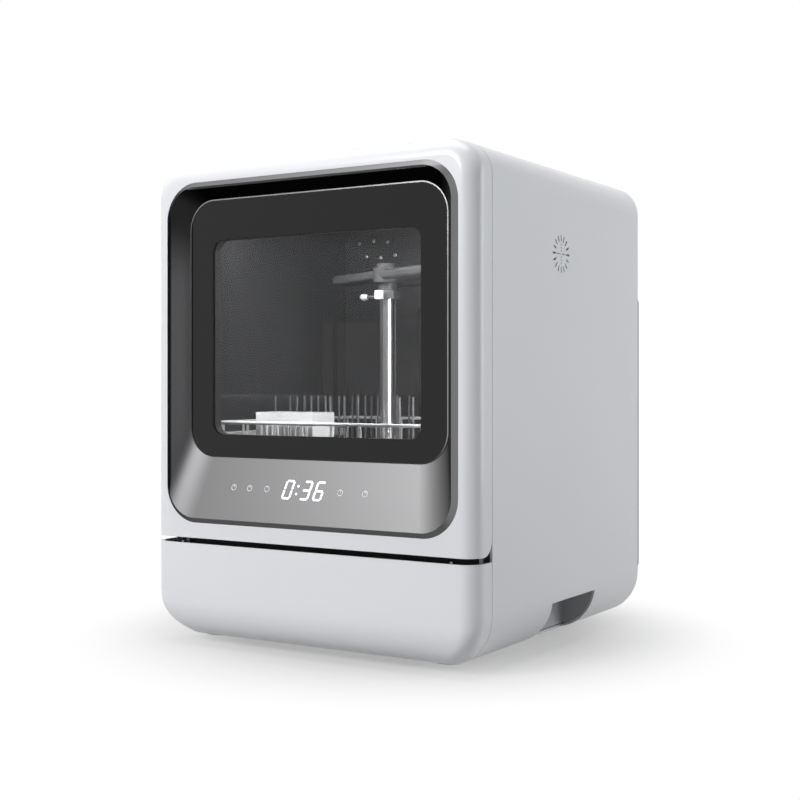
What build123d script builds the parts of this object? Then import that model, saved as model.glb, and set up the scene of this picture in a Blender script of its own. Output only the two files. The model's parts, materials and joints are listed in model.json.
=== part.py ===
from build123d import *
import math
import os

os.makedirs("parts", exist_ok=True)

# ---------------------------------------------------------------------------
# Driving dimensions (mm).  X is the width, -Y the front, +Z up.
# The origin is at the floor, under the middle of the overall box.
# ---------------------------------------------------------------------------

# Overall body
body_width = 370.0
body_height = 480.0
body_depth = 383.0
foot_height = 6.5
top_corner_radius = 32.5
bottom_corner_radius = 48.0
shell_wall = 2.5
fit_gap = 0.3
glass_gap = 0.1
bush_gap = 0.05

# Door and the fixed panel below it
door_depth = 31.1
door_bottom = 108.4
door_edge_radius = 16.0
door_corner_radius = 3.0
door_heel_radius = 15.0
door_seam = 0.8
door_gap = 5.6
panel_bottom_radius = 38.5
panel_sections = 6

# Bezel round the glass
bezel_rise = 3.7
bezel_bevel = 5.1
bezel_wall = 2.2
bezel_skirt = 9.0
ring_side_margin = 17.1
ring_bottom_margin = 15.2
ring_top_margin = 18.5
ring_radius = 37.0

# Door glass, its trim and the inner pane
glass_recess = 18.5
glass_side_margin = 35.0
glass_bottom = 188.7
glass_top_margin = 34.5
glass_radius = 30.0
glass_thickness = 3.2
trim_width = 1.3
trim_proud = 0.5
window_side_margin = 64.0
window_bottom = 211.0
window_top_margin = 75.0
window_radius = 12.0
inner_glass_thickness = 4.0
inner_glass_overlap = 9.0
window_frame_width = 6.0

# Display on the slope under the glass
digit_height = 19.0
digit_width = 10.4
digit_places = (-21.0, 0.0, 15.0)
light_guide_width = 60.0
colon_x = -10.5
colon_rise = 3.8
colon_lean = 0.6
colon_radius = 1.14
digit_stroke = 1.9
digit_slant = 12.0
digit_centre_height = 160.5
mark_positions = (-87.0, -67.5, -46.5, 39.0, 66.5)
mark_radius = 3.1
mark_stroke = 0.7
mark_centre_height = 160.0
print_thickness = 0.3
display_board_width = 200.0
display_board_height = 36.0
display_board_thickness = 1.6
display_spacer = 3.0

# Hinge
hinge_pin_radius = 3.5
hinge_pin_clearance = 0.05
hinge_bracket_thickness = 4.0
hinge_bracket_inset = 11.0
hinge_arm_thickness = 6.0
hinge_arm_width = 13.0
hinge_arm_front = 3.5
hinge_arm_length = 46.0
hinge_slot_clearance = 1.6
hinge_slot_front = 4.0
hinge_slot_rise = 9.0
hinge_bracket_rim = 2.5
spring_length = 9.0
spring_wire = 2.0

# Tub
tub_side_room = 27.0
tub_roof_room = 34.0
tub_floor = 130.0
tub_back_room = 73.5
tub_front_set = 7.9
tub_wall = 1.5
tub_radius = 22.0
flange_width = 11.5
seal_width = 9.0
seal_offset = 2.0
seal_rounding = 2.0
panel_relief_height = 190.0
panel_relief_width = 96.0
panel_relief_depth = 6.0
panel_relief_corner = 14.0
panel_relief_rounding = 3.0
panel_rib_height_share = 0.72
panel_rib_width = 9.0
panel_relief_bottom = 186.0

# Sill behind the dark gap
sill_thickness = 3.0
sill_bottom = 84.0

# Base and feet
base_thickness = 2.5
base_half_width = 136.0
base_slot_half_width = 128.0
foot_radius = 13.0
foot_spacing_x = 224.0
foot_front = -112.0
foot_back = 142.0

# Handle recesses
handle_front = -31.0
handle_length = 101.5
handle_top = 48.5
handle_inset = 36.0
handle_wall = 2.0

# Side vent and the drying fan behind it
vent_y = -11.6
vent_z = 389.0
vent_radius = 19.0
vent_core_radius = 12.2
vent_slots = 16
vent_slot_width = 2.0
vent_hub_slots = (3.0, 6.0, 9.0)
vent_hub_slot_width = 1.2
fan_depth = 13.0
fan_wall = 1.5
fan_rotor_radius = 17.0
fan_hub_radius = 7.0
fan_blades = 7
fan_blade_thickness = 1.2
fan_blade_root = 1.0
fan_blade_set = 1.0
fan_shaft_radius = 1.5
fan_shaft_clearance = 0.05
fan_floor = 1.5
fan_rotor_gap = 1.0
fan_rotor_set = 1.5
fan_shaft_set = 3.0
duct_radius = 12.0
duct_port_circle = 7.8
duct_port_depth = 6.0
duct_port_width = 7.2

# Back of the machine
rear_cover_thickness = 3.0
rear_cover_bottom = 48.0
rear_cover_top_margin = 114.0
rear_cover_radius = 14.0
rear_cover_inset = 0.6
back_panel_thickness = 2.0
niche_depth = 26.0
niche_top = 46.0
louvre_count = 9
louvre_pitch = 9.0
louvre_width = 90.0
louvre_height = 3.0
louvre_bottom = 250.0

# Rack and everything that rides on it
rack_half_width = 139.0
rack_front = -141.0
rack_back = 100.0
rack_floor = 191.6
rack_rim = 222.0
floor_wire_radius = 1.6
rim_wire_radius = 1.8
post_wire_radius = 1.3
weld_step = 2.6
floor_wires_x = 11
floor_wires_y = 7
posts_x = 9
posts_y = 8
tine_radius = 1.3
tine_base_radius = 1.6
tine_top = 248.0
tine_rows = (-112.0, -84.0, -42.0, 42.0, 76.0, 110.0)
tine_pitch = 26.0
tine_count = 7
tine_first = -82.0
tine_overhang = 5.0
wire_gap = 0.1
floor_end_inset = 2.0
rail_wall = 1.6
rail_depth = 10.0
rail_front = -138.0
rail_back = 108.0
runner_height = 7.0
runner_length = 60.0
runner_end_inset = 6.0
runner_rounding = 2.0
runner_lift = 14.0
riser_y = -37.5
riser_radius = 8.5
riser_bore = 6.6
riser_top = 358.0
collar_radius = 15.0
collar_height = 12.0
collar_wall = 3.0
dock_gap = 1.5

# Spray arms
arm_length = 210.0
arm_width = 26.0
arm_height = 10.0
arm_rounding = 3.5
arm_hub_radius = 15.0
arm_hub_height = 15.0
arm_nozzle_radius = 1.4
arm_nozzle_pitch = 17.0
arm_nozzles = 5
arm_nozzle_set = 3.0
upper_arm_bottom = 366.5
lower_arm_bottom = 155.0
upper_arm_turn = -26.5
lower_arm_turn = 35.0
arm_bearing_radius = 7.0
arm_bearing_clearance = 0.05
arm_bearing_wall = 3.0
arm_play = 0.4
arm_cap_height = 4.0
arm_cap_radius = 11.0
hub_base_radius = 24.0
hub_base_height = 6.0

# Cutlery basket
cutlery_left = -95.0
cutlery_right = -25.0
cutlery_front = -137.0
cutlery_depth = 38.0
cutlery_top = 233.0
cutlery_wall = 1.6
cutlery_slots = 9
cutlery_slot_width = 3.2
cutlery_band = 12.0

# Sump, filters and pumps
sump_y = 48.0
sump_radius = 44.0
sump_depth = 52.0
sump_wall = 2.5
filter_cup_radius = 30.0
filter_cup_depth = 38.0
filter_cup_wall = 1.5
filter_clearance = 0.5
filter_plate_half_width = 84.0
filter_plate_depth = 108.0
filter_plate_thickness = 1.0
filter_plate_corner = 18.0
filter_hole_radius = 1.6
filter_hole_pitch = (7.0, 9.0)
filter_handle_height = 9.0
filter_grip_width = 3.0
filter_window_radius = 5.0
volute_radius = 30.0
volute_length = 24.0
volute_wall = 2.5
volute_x = -78.0
pump_niche_room = 54.5
wash_motor_radius = 27.0
wash_motor_length = 62.0
wash_shaft_radius = 4.0
motor_grooves = 18
groove_depth = 1.5
groove_width = 2.0
drain_volute_radius = 19.0
drain_volute_length = 16.0
drain_volute_x = 62.0
sump_outlet_x = 20.0
sump_outlet_y = 60.0
drain_motor_radius = 17.0
drain_motor_length = 34.0
drain_shaft_radius = 2.5
impeller_clearance = 2.0
impeller_blades = 6
impeller_blade_thickness = 1.8
blade_overlap = 1.0
impeller_hub_radius = 8.0
shaft_clearance = 0.05
heater_radius = 13.0
heater_length = 88.0
heater_y = -40.0
heater_rounding = 3.0
terminal_radius = 2.5
terminal_height = 8.0
hose_bend = 14.0
hose_wall = 2.0
wash_hose_radius = 9.0
drain_hose_radius = 7.0
inlet_hose_radius = 5.0
feed_z = 98.0
inlet_port_z = 160.0
drain_run_gap = 1.0

# Water and mains connections in the niche
inlet_x = 92.0
inlet_thread_radius = 13.2
inlet_thread_length = 14.0
inlet_bore = 9.0
drain_x = -92.0
drain_spigot_radius = 9.0
drain_spigot_bore = 6.5
drain_spigot_length = 20.0
gland_x = 0.0
gland_radius = 9.0
gland_bore = 4.0
gland_length = 10.0
connection_height = 28.5
valve_body = 30.0
valve_rounding = 4.0
solenoid_radius = 9.0
solenoid_length = 16.0
neck_step = 1.0
gland_neck_step = 2.0

# Electronics
control_box_width = 76.0
control_box_depth = 56.0
control_box_height = 26.0
control_box_wall = 2.0
control_box_x = 80.0
control_box_y = -92.0
board_thickness = 1.6
board_post_set = 6.0
board_post_radius = 3.0
relay_place = (12.0, 12.0)
relay_size = (16.0, 12.0, 10.0)
transformer_place = (40.0, 14.0)
transformer_size = (20.0, 22.0, 11.0)
capacitor_place = (20.0, 40.0)
capacitor_height = 10.0
capacitor_radius = 5.0

# Latch and door switch
latch_width = 40.0
latch_height = 18.0
latch_depth = 15.0
latch_slot_width = 16.0
latch_slot_height = 8.0
striker_width = 10.0
striker_thickness = 4.0
striker_gap = 1.0
striker_rounding = 1.2
latch_drop = 11.0
switch_x = 62.0
switch_size = 12.0
plunger_radius = 2.0
plunger_clearance = 0.1
plunger_travel = 2.0
plunger_spare = 1.0
plunger_rounding = 0.6

# Fasteners
screw_head_radius = 3.6
screw_head_height = 2.0
screw_sink = 0.2
screw_clearance = 0.2
screw_side_inset = 16.0
screw_end_inset = 16.0

# ---------------------------------------------------------------------------
# Places that follow from the sizes above
# ---------------------------------------------------------------------------
half_width = body_width / 2
crest_y = -body_depth / 2
face_y = crest_y + bezel_rise
door_back_y = face_y + door_depth
casing_front_y = door_back_y + door_seam
cover_back_y = body_depth / 2
casing_back_y = cover_back_y - rear_cover_thickness
body_bottom = foot_height
panel_top = door_bottom - door_gap

ring_half_width = half_width - ring_side_margin
ring_bottom = door_bottom + ring_bottom_margin
ring_top = body_height - ring_top_margin
glass_y = crest_y + glass_recess
glass_half_width = half_width - glass_side_margin
glass_top = body_height - glass_top_margin
window_half_width = half_width - window_side_margin
window_top = body_height - window_top_margin
glass_back_y = glass_y + glass_thickness

hinge_y = door_back_y - door_heel_radius
hinge_z = door_bottom + door_heel_radius
bracket_x = half_width - shell_wall - hinge_bracket_inset
arm_inner_x = bracket_x + hinge_bracket_thickness / 2 + 0.8

tub_half_width = half_width - tub_side_room
tub_ceiling = body_height - tub_roof_room
tub_back = cover_back_y - tub_back_room
rear_cover_top = body_height - rear_cover_top_margin
flange_y = casing_front_y + tub_front_set
flange_half_width = half_width - shell_wall - fit_gap
inner_panel_half_width = half_width - shell_wall - fit_gap
inner_panel_bottom = hinge_z + fit_gap
inner_panel_top = body_height - shell_wall - fit_gap

base_top = body_bottom + shell_wall + base_thickness
niche_y = casing_back_y - niche_depth
pump_y = niche_y - pump_niche_room
lower_arm_top = lower_arm_bottom + arm_hub_height
hub_shoulder = lower_arm_bottom - arm_play
riser_bottom = lower_arm_top + arm_play + arm_cap_height + dock_gap
runner_z = rack_floor + runner_lift
rail_height = runner_height + 2 * (rail_wall + fit_gap)
rail_bottom = runner_z - rail_height / 2
rail_inner_x = tub_half_width - rail_depth
rack_floor_top = rack_floor + weld_step + floor_wire_radius
inner_roof = body_height - shell_wall


# ---------------------------------------------------------------------------
# Small helpers
# ---------------------------------------------------------------------------
def front_plane(y):
    """Upright plane at depth y, seen from the front: its axes are X and Z."""
    return Plane.XZ.offset(-y)


def side_plane(x):
    """Upright plane at width x: its axes are Y and Z."""
    return Plane.YZ.offset(x)


def outline(half, bottom, top, bottom_radius, top_radius):
    """Upright face with its own radius at the lower and at the upper corners."""
    corners = [(-half, bottom), (half, bottom), (half, top), (-half, top)]
    radii = [bottom_radius, bottom_radius, top_radius, top_radius]
    with BuildLine() as edge:
        FilletPolyline(*corners, radius=radii, close=True)
    make_face(edge.edges())


def block(low, high, mode=Mode.ADD):
    """Box between two opposite corners."""
    centre = [(a + b) / 2 for a, b in zip(low, high)]
    size = [b - a for a, b in zip(low, high)]
    with Locations(tuple(centre)):
        Box(*size, mode=mode)


def rod(start, direction, length, radius, mode=Mode.ADD):
    """Round bar from a start point along a direction."""
    with Locations(Plane(origin=start, z_dir=direction)):
        Cylinder(radius, length, align=(Align.CENTER, Align.CENTER, Align.MIN), mode=mode)


def both_sides(x):
    """The same distance to the left and to the right."""
    return (-x, x)


def finish(piece, name):
    """Name a finished piece and write it."""
    piece.part.label = name
    export_step(piece.part, f"parts/{name}.step")


# ---------------------------------------------------------------------------
# Outer casing: one wrap of sides and roof, open at the front, back and bottom
# ---------------------------------------------------------------------------
with BuildPart() as wrap_casing:
    with BuildSketch(front_plane(casing_back_y)):
        outline(half_width, body_bottom, body_height, bottom_corner_radius, top_corner_radius)
        inner_half = half_width - shell_wall
        inner_low = body_bottom + shell_wall
        inner_high = body_height - shell_wall
        with BuildLine(mode=Mode.PRIVATE) as inner_edge:
            FilletPolyline(
                (-inner_half, inner_low),
                (inner_half, inner_low),
                (inner_half, inner_high),
                (-inner_half, inner_high),
                radius=[bottom_corner_radius - shell_wall] * 2 + [top_corner_radius - shell_wall] * 2,
                close=True,
            )
        make_face(inner_edge.edges(), mode=Mode.SUBTRACT)
    extrude(amount=casing_back_y - casing_front_y)
    # slot in the underside for the base pan
    block(
        (-base_slot_half_width, casing_front_y, body_bottom),
        (base_slot_half_width, casing_back_y, body_bottom + shell_wall),
        mode=Mode.SUBTRACT,
    )
    # handle recess at the foot of each side, as deep as its cup
    for side in (-1, 1):
        outer_x = side * half_width
        inner_x = side * (half_width - handle_inset - handle_wall)
        block(
            (min(outer_x, inner_x), handle_front, body_bottom),
            (max(outer_x, inner_x), handle_front + handle_length, handle_top),
            mode=Mode.SUBTRACT,
        )
    # round vent in the right side: a ring of slots round a cross of short slots
    with BuildSketch(side_plane(half_width)):
        with Locations((vent_y, vent_z)):
            with PolarLocations((vent_radius + vent_core_radius) / 2, vent_slots):
                SlotOverall(vent_radius - vent_core_radius, vent_slot_width)
            for reach in vent_hub_slots:
                with Locations((0, reach), (0, -reach), (reach, 0), (-reach, 0)):
                    SlotOverall(vent_hub_slot_width * 1.8, vent_hub_slot_width)
    extrude(amount=-shell_wall, mode=Mode.SUBTRACT)
finish(wrap_casing, "wrap_casing")


# ---------------------------------------------------------------------------
# Fixed front panel under the door: a shell with a pillow-shaped foot
# ---------------------------------------------------------------------------
def panel_level(angle, wall):
    """Height, half width and front depth where the foot's side radius has turned by angle (degrees)."""
    turn = math.radians(angle)
    height = body_bottom + panel_bottom_radius * (1 - math.sin(turn))
    front = face_y + panel_bottom_radius * (1 - math.cos(turn))
    rise = min(height - body_bottom, bottom_corner_radius)
    half = half_width - bottom_corner_radius
    half += math.sqrt(max(bottom_corner_radius**2 - (bottom_corner_radius - rise) ** 2, 0.0))
    return height, half - wall, front + wall


def panel_face(height, half, front):
    """Level section of the panel, rounded at its two front corners and open to the back."""
    room = door_back_y - front
    corner = min(door_edge_radius, room * 0.92)
    corners = [(-half, door_back_y), (-half, front), (half, front), (half, door_back_y)]
    with BuildSketch(Plane.XY.offset(height)) as level:
        with BuildLine():
            FilletPolyline(*corners, radius=[0, corner, corner, 0], close=True)
        make_face()
    return level.sketch


def panel_body(wall):
    """Loft of the panel's level sections, shrunk by a wall on the sides and the front."""
    last_turn = math.degrees(math.acos(1 - (door_depth - wall - 6.0) / panel_bottom_radius))
    turns = [last_turn * step / panel_sections for step in range(panel_sections, -1, -1)]
    levels = [panel_level(turn, wall) for turn in turns]
    shoulder = body_bottom + bottom_corner_radius
    upright = [(height, half_width - wall, face_y + wall) for height in (shoulder, panel_top)]
    with BuildPart() as body:
        loft([panel_face(*level) for level in levels + upright[:1]])
        loft([panel_face(*level) for level in upright])
    return body.part


with BuildPart() as lower_front_panel:
    add(panel_body(0.0))
    add(panel_body(shell_wall), mode=Mode.SUBTRACT)
finish(lower_front_panel, "lower_front_panel")


# ---------------------------------------------------------------------------
# Base pan, feet and handle cups
# ---------------------------------------------------------------------------
with BuildPart() as base_pan:
    block(
        (-base_half_width, casing_front_y, base_top - base_thickness),
        (base_half_width, casing_back_y, base_top),
    )
finish(base_pan, "base_pan")

with BuildPart() as rubber_feet:
    for foot_y in (foot_front, foot_back):
        for foot_x in both_sides(foot_spacing_x / 2):
            rod((foot_x, foot_y, 0), (0, 0, 1), base_top - base_thickness, foot_radius)
    chamfer(rubber_feet.faces().filter_by(Axis.Z).group_by(Axis.Z)[0].edges(), 1.0)
finish(rubber_feet, "rubber_feet")

cup_outer = half_width - shell_wall - fit_gap
cup_inner = half_width - handle_inset
with BuildPart() as handle_cups:
    for side in (-1, 1):
        block(
            (
                min(side * cup_outer, side * (cup_inner - handle_wall)),
                handle_front - handle_wall,
                base_top + fit_gap,
            ),
            (
                max(side * cup_outer, side * (cup_inner - handle_wall)),
                handle_front + handle_length + handle_wall,
                handle_top + handle_wall,
            ),
        )
        block(
            (min(side * cup_outer, side * cup_inner), handle_front, body_bottom),
            (max(side * cup_outer, side * cup_inner), handle_front + handle_length, handle_top),
            mode=Mode.SUBTRACT,
        )
    # the cups' feet follow the inside of the casing's rounded corners
    with BuildSketch(front_plane(casing_back_y)):
        outline(
            cup_outer,
            body_bottom + shell_wall + fit_gap,
            body_height - shell_wall - fit_gap,
            bottom_corner_radius - shell_wall - fit_gap,
            top_corner_radius,
        )
    extrude(amount=body_depth, mode=Mode.INTERSECT)
finish(handle_cups, "handle_cups")


# ---------------------------------------------------------------------------
# Tub: liner with flange, seal, sill, rails
# ---------------------------------------------------------------------------
def tub_outline(grow):
    """Section of the tub's mouth, grown outwards by a wall or an offset."""
    outline(
        tub_half_width + grow,
        tub_floor - grow,
        tub_ceiling + grow,
        tub_radius + grow,
        tub_radius + grow,
    )


with BuildPart() as tub_liner:
    # flange that carries the seal and reaches the casing
    with BuildSketch(front_plane(flange_y)):
        outline(
            flange_half_width,
            tub_floor - tub_wall - flange_width,
            inner_roof - fit_gap,
            door_corner_radius,
            top_corner_radius - shell_wall - fit_gap,
        )
    extrude(amount=-tub_wall)
    # body, open to the front
    with BuildSketch(front_plane(flange_y)):
        tub_outline(tub_wall)
    extrude(amount=-(tub_back + tub_wall - flange_y))
    with BuildSketch(front_plane(flange_y)):
        tub_outline(0)
    extrude(amount=-(tub_back - flange_y), mode=Mode.SUBTRACT)
    # holes for the sump and for the lower spray arm's feed
    rod(
        (0, sump_y, tub_floor - tub_wall),
        (0, 0, 1),
        tub_wall,
        filter_cup_radius + filter_clearance,
        Mode.SUBTRACT,
    )
    rod((0, riser_y, tub_floor - tub_wall), (0, 0, 1), tub_wall, arm_bearing_radius, Mode.SUBTRACT)
    # port to the drying fan
    rod((tub_half_width, vent_y, vent_z), (1, 0, 0), tub_wall, duct_radius, Mode.SUBTRACT)
finish(tub_liner, "tub_liner")

with BuildPart() as tub_back_duct:
    # raised duct panel on the back wall inside the tub
    block(
        (-panel_relief_width, tub_back - panel_relief_depth, panel_relief_bottom),
        (panel_relief_width, tub_back, panel_relief_bottom + panel_relief_height),
    )
    fillet(tub_back_duct.edges().filter_by(Axis.Y), panel_relief_corner)
    fillet(tub_back_duct.faces().sort_by(Axis.Y)[0].edges(), panel_relief_rounding)
    with BuildSketch(front_plane(tub_back - panel_relief_depth)):
        with Locations((0, panel_relief_bottom + panel_relief_height / 2)):
            with GridLocations(panel_relief_width / 2, 0, 3, 1):
                SlotOverall(panel_relief_height * panel_rib_height_share, panel_rib_width, rotation=90)
    extrude(amount=-panel_relief_depth / 2, mode=Mode.SUBTRACT)
finish(tub_back_duct, "tub_back_duct")

with BuildPart() as door_seal:
    with BuildSketch(front_plane(flange_y)):
        tub_outline(seal_offset + seal_width)
        with BuildLine(mode=Mode.PRIVATE) as seal_bore:
            inner_half = tub_half_width + seal_offset
            FilletPolyline(
                (-inner_half, tub_floor - seal_offset),
                (inner_half, tub_floor - seal_offset),
                (inner_half, tub_ceiling + seal_offset),
                (-inner_half, tub_ceiling + seal_offset),
                radius=tub_radius + seal_offset,
                close=True,
            )
        make_face(seal_bore.edges(), mode=Mode.SUBTRACT)
    extrude(amount=flange_y - door_back_y - fit_gap)
    fillet(door_seal.faces().sort_by(Axis.Y)[0].edges(), seal_rounding)
finish(door_seal, "door_seal")

with BuildPart() as front_sill:
    block(
        (-flange_half_width, flange_y, sill_bottom),
        (
            flange_half_width,
            flange_y + sill_thickness,
            tub_floor - tub_wall - flange_width - fit_gap,
        ),
    )
finish(front_sill, "front_sill")

with BuildPart() as rack_rails:
    for side in (-1, 1):
        outer_x = side * tub_half_width
        inner_x = side * rail_inner_x
        block(
            (min(outer_x, inner_x), rail_front, rail_bottom),
            (max(outer_x, inner_x), rail_back, rail_bottom + rail_height),
        )
        block(
            (min(outer_x - side * rail_wall, inner_x), rail_front, rail_bottom + rail_wall),
            (
                max(outer_x - side * rail_wall, inner_x),
                rail_back - rail_wall,
                rail_bottom + rail_height - rail_wall,
            ),
            mode=Mode.SUBTRACT,
        )
finish(rack_rails, "rack_rails")


# ---------------------------------------------------------------------------
# Sump, filters and the hub under the lower spray arm
# ---------------------------------------------------------------------------
sump_top = tub_floor - tub_wall

with BuildPart() as sump_bowl:
    rod((0, sump_y, sump_top - sump_depth), (0, 0, 1), sump_depth, sump_radius)
    rod(
        (0, sump_y, sump_top - sump_depth + sump_wall),
        (0, 0, 1),
        sump_depth,
        sump_radius - sump_wall,
        Mode.SUBTRACT,
    )
    # outlets to the wash pump on the left and to the drain pump on the right
    for side, outlet in ((-1, wash_hose_radius), (1, drain_hose_radius)):
        outlet_place = (side * sump_outlet_x, sump_outlet_y, sump_top - sump_depth)
        rod(outlet_place, (0, 0, 1), sump_wall, outlet - hose_wall, Mode.SUBTRACT)
finish(sump_bowl, "sump_bowl")

with BuildPart() as filter_plate:
    block(
        (-filter_plate_half_width, sump_y - filter_plate_depth / 2, tub_floor + fit_gap),
        (
            filter_plate_half_width,
            sump_y + filter_plate_depth / 2,
            tub_floor + fit_gap + filter_plate_thickness,
        ),
    )
    fillet(filter_plate.edges().filter_by(Axis.Z), filter_plate_corner)
    rod(
        (0, sump_y, tub_floor),
        (0, 0, 1),
        fit_gap + filter_plate_thickness,
        filter_cup_radius + filter_clearance,
        Mode.SUBTRACT,
    )
    with BuildSketch(Plane.XY.offset(tub_floor + fit_gap)):
        for side in both_sides((filter_plate_half_width + filter_cup_radius) / 2):
            with Locations((side, sump_y)):
                with GridLocations(*filter_hole_pitch, 5, 8):
                    Circle(filter_hole_radius)
    extrude(amount=filter_plate_thickness, mode=Mode.SUBTRACT)
finish(filter_plate, "filter_plate")

with BuildPart() as filter_cup:
    cup_base = tub_floor + filter_plate_thickness + fit_gap - filter_cup_depth
    rod((0, sump_y, cup_base), (0, 0, 1), filter_cup_depth, filter_cup_radius)
    rod(
        (0, sump_y, cup_base + filter_cup_wall),
        (0, 0, 1),
        filter_cup_depth,
        filter_cup_radius - filter_cup_wall,
        Mode.SUBTRACT,
    )
    # side windows of the cup
    for turn in range(0, 360, 30):
        direction = (math.cos(math.radians(turn)), math.sin(math.radians(turn)), 0)
        rod(
            (0, sump_y, cup_base + filter_cup_depth / 2),
            direction,
            filter_cup_radius + fit_gap,
            filter_window_radius,
            Mode.SUBTRACT,
        )
    # grip bar across the mouth
    block(
        (
            -filter_cup_radius + filter_cup_wall / 2,
            sump_y - filter_grip_width / 2,
            cup_base + filter_cup_depth - filter_handle_height,
        ),
        (
            filter_cup_radius - filter_cup_wall / 2,
            sump_y + filter_grip_width / 2,
            cup_base + filter_cup_depth + filter_handle_height,
        ),
    )
finish(filter_cup, "filter_cup")

with BuildPart() as lower_arm_hub:
    # foot on the tub floor, bearing stem, and the feed pipe under the floor
    rod((0, riser_y, tub_floor), (0, 0, 1), hub_base_height, hub_base_radius)
    rod(
        (0, riser_y, tub_floor),
        (0, 0, 1),
        hub_shoulder - tub_floor,
        arm_bearing_radius + arm_bearing_wall,
    )
    rod(
        (0, riser_y, tub_floor - hose_bend),
        (0, 0, 1),
        lower_arm_top - tub_floor + hose_bend,
        arm_bearing_radius - bush_gap,
    )
    rod(
        (0, riser_y, tub_floor - hose_bend),
        (0, 0, 1),
        body_height,
        arm_bearing_radius - arm_bearing_wall,
        Mode.SUBTRACT,
    )
finish(lower_arm_hub, "lower_arm_hub")


def spray_arm(bottom, turn, name):
    """Two-ended hollow arm on a round hub, turned about its bearing."""
    pivot = Plane(
        origin=(0, riser_y, bottom),
        x_dir=(math.cos(math.radians(turn)), math.sin(math.radians(turn)), 0),
    )
    with BuildPart() as arm:
        with BuildSketch(pivot.offset((arm_hub_height - arm_height) / 2)):
            SlotOverall(arm_length, arm_width)
        extrude(amount=arm_height)
        fillet(arm.faces().filter_by(Axis.Z).edges(), arm_rounding)
        with Locations(pivot):
            Cylinder(arm_hub_radius, arm_hub_height, align=(Align.CENTER, Align.CENTER, Align.MIN))
        with BuildSketch(pivot):
            Circle(arm_bearing_radius + arm_bearing_clearance)
        extrude(amount=arm_hub_height, mode=Mode.SUBTRACT)
        # water nozzles, on the upper face to one side and the lower face to the other
        for side in (-1, 1):
            first = side * (arm_hub_radius + arm_nozzle_pitch)
            for step in range(arm_nozzles - 1):
                along = first + side * step * arm_nozzle_pitch
                with Locations(pivot * Pos(along, side * arm_nozzle_set, arm_hub_height / 2)):
                    Cylinder(arm_nozzle_radius, arm_height, mode=Mode.SUBTRACT)
    finish(arm, name)


spray_arm(lower_arm_bottom, lower_arm_turn, "lower_spray_arm")
spray_arm(upper_arm_bottom, upper_arm_turn, "upper_spray_arm")

with BuildPart() as lower_arm_cap:
    rod((0, riser_y, lower_arm_top + arm_play), (0, 0, 1), arm_cap_height, arm_cap_radius)
    rod(
        (0, riser_y, lower_arm_top),
        (0, 0, 1),
        arm_cap_height + 1.0,
        arm_bearing_radius - arm_bearing_wall,
        Mode.SUBTRACT,
    )
finish(lower_arm_cap, "lower_arm_cap")


# ---------------------------------------------------------------------------
# Door: outer frame, bezel, glass, inner panel
# ---------------------------------------------------------------------------
def door_body(wall):
    """Door's outer body, shrunk by a wall, with its rounded front edge and heel."""
    with BuildPart() as body:
        with BuildSketch(front_plane(face_y + wall)):
            outline(
                half_width - wall,
                door_bottom + wall,
                body_height - wall,
                0,
                top_corner_radius - wall,
            )
        extrude(amount=-(door_depth - 2 * wall))
        heel = body.faces().sort_by(Axis.Y)[-1].edges().sort_by(Axis.Z)[0]
        fillet(heel, door_heel_radius - wall)
        front = body.faces().sort_by(Axis.Y)[0].edges().sort_by(Axis.Z)
        fillet(front[1:], door_edge_radius - wall)
    return body.part


def hinge_slots():
    """Slots that let the brackets reach the pins with the door shut or open."""
    for side in both_sides(bracket_x):
        reach = hinge_bracket_thickness / 2 + hinge_slot_clearance
        block(
            (side - reach, hinge_y - hinge_pin_radius - hinge_slot_front, door_bottom - 1.0),
            (side + reach, casing_front_y, hinge_z + hinge_pin_radius + hinge_slot_rise),
            mode=Mode.SUBTRACT,
        )


with BuildPart() as door_frame:
    add(door_body(0.0))
    add(door_body(shell_wall), mode=Mode.SUBTRACT)
    # the bezel's opening in front
    with BuildSketch(front_plane(face_y)):
        outline(ring_half_width, ring_bottom, ring_top, ring_radius, ring_radius)
    extrude(amount=-shell_wall * 2, mode=Mode.SUBTRACT)
    # the inner panel's opening behind
    with BuildSketch(front_plane(door_back_y - shell_wall)):
        outline(
            inner_panel_half_width + fit_gap,
            inner_panel_bottom - fit_gap,
            inner_panel_top + fit_gap,
            door_corner_radius,
            top_corner_radius - shell_wall,
        )
    extrude(amount=-shell_wall, mode=Mode.SUBTRACT)
    hinge_slots()
finish(door_frame, "door_frame")


def ring_face(y, inset):
    """Bezel outline at a depth, pulled in from the ring's outer edge."""
    with BuildSketch(front_plane(y)) as face:
        outline(
            ring_half_width - inset,
            ring_bottom + inset,
            ring_top - inset,
            ring_radius - inset,
            ring_radius - inset,
        )
    return face.sketch


def glass_face(y, grow):
    """Glass outline at a depth, grown outwards."""
    with BuildSketch(front_plane(y)) as face:
        outline(
            glass_half_width + grow,
            glass_bottom - grow,
            glass_top + grow,
            glass_radius + grow,
            glass_radius + grow,
        )
    return face.sketch


with BuildPart() as bezel:
    # skirt in the door's opening and the bevel up to the crest
    extrude(ring_face(face_y, fit_gap), amount=-bezel_skirt, dir=(0, -1, 0))
    loft([ring_face(face_y, 0), ring_face(crest_y, bezel_bevel)])
    extrude(
        ring_face(face_y, fit_gap + bezel_wall),
        amount=-bezel_skirt,
        dir=(0, -1, 0),
        mode=Mode.SUBTRACT,
    )
    # funnel from the crest back to the glass
    loft([ring_face(face_y, bezel_bevel), glass_face(glass_back_y, bezel_wall)])
    loft([ring_face(crest_y, bezel_bevel), glass_face(glass_y, 0)], mode=Mode.SUBTRACT)
    extrude(glass_face(glass_y, 0), amount=-glass_thickness, dir=(0, -1, 0), mode=Mode.SUBTRACT)
finish(bezel, "bezel")

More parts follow.
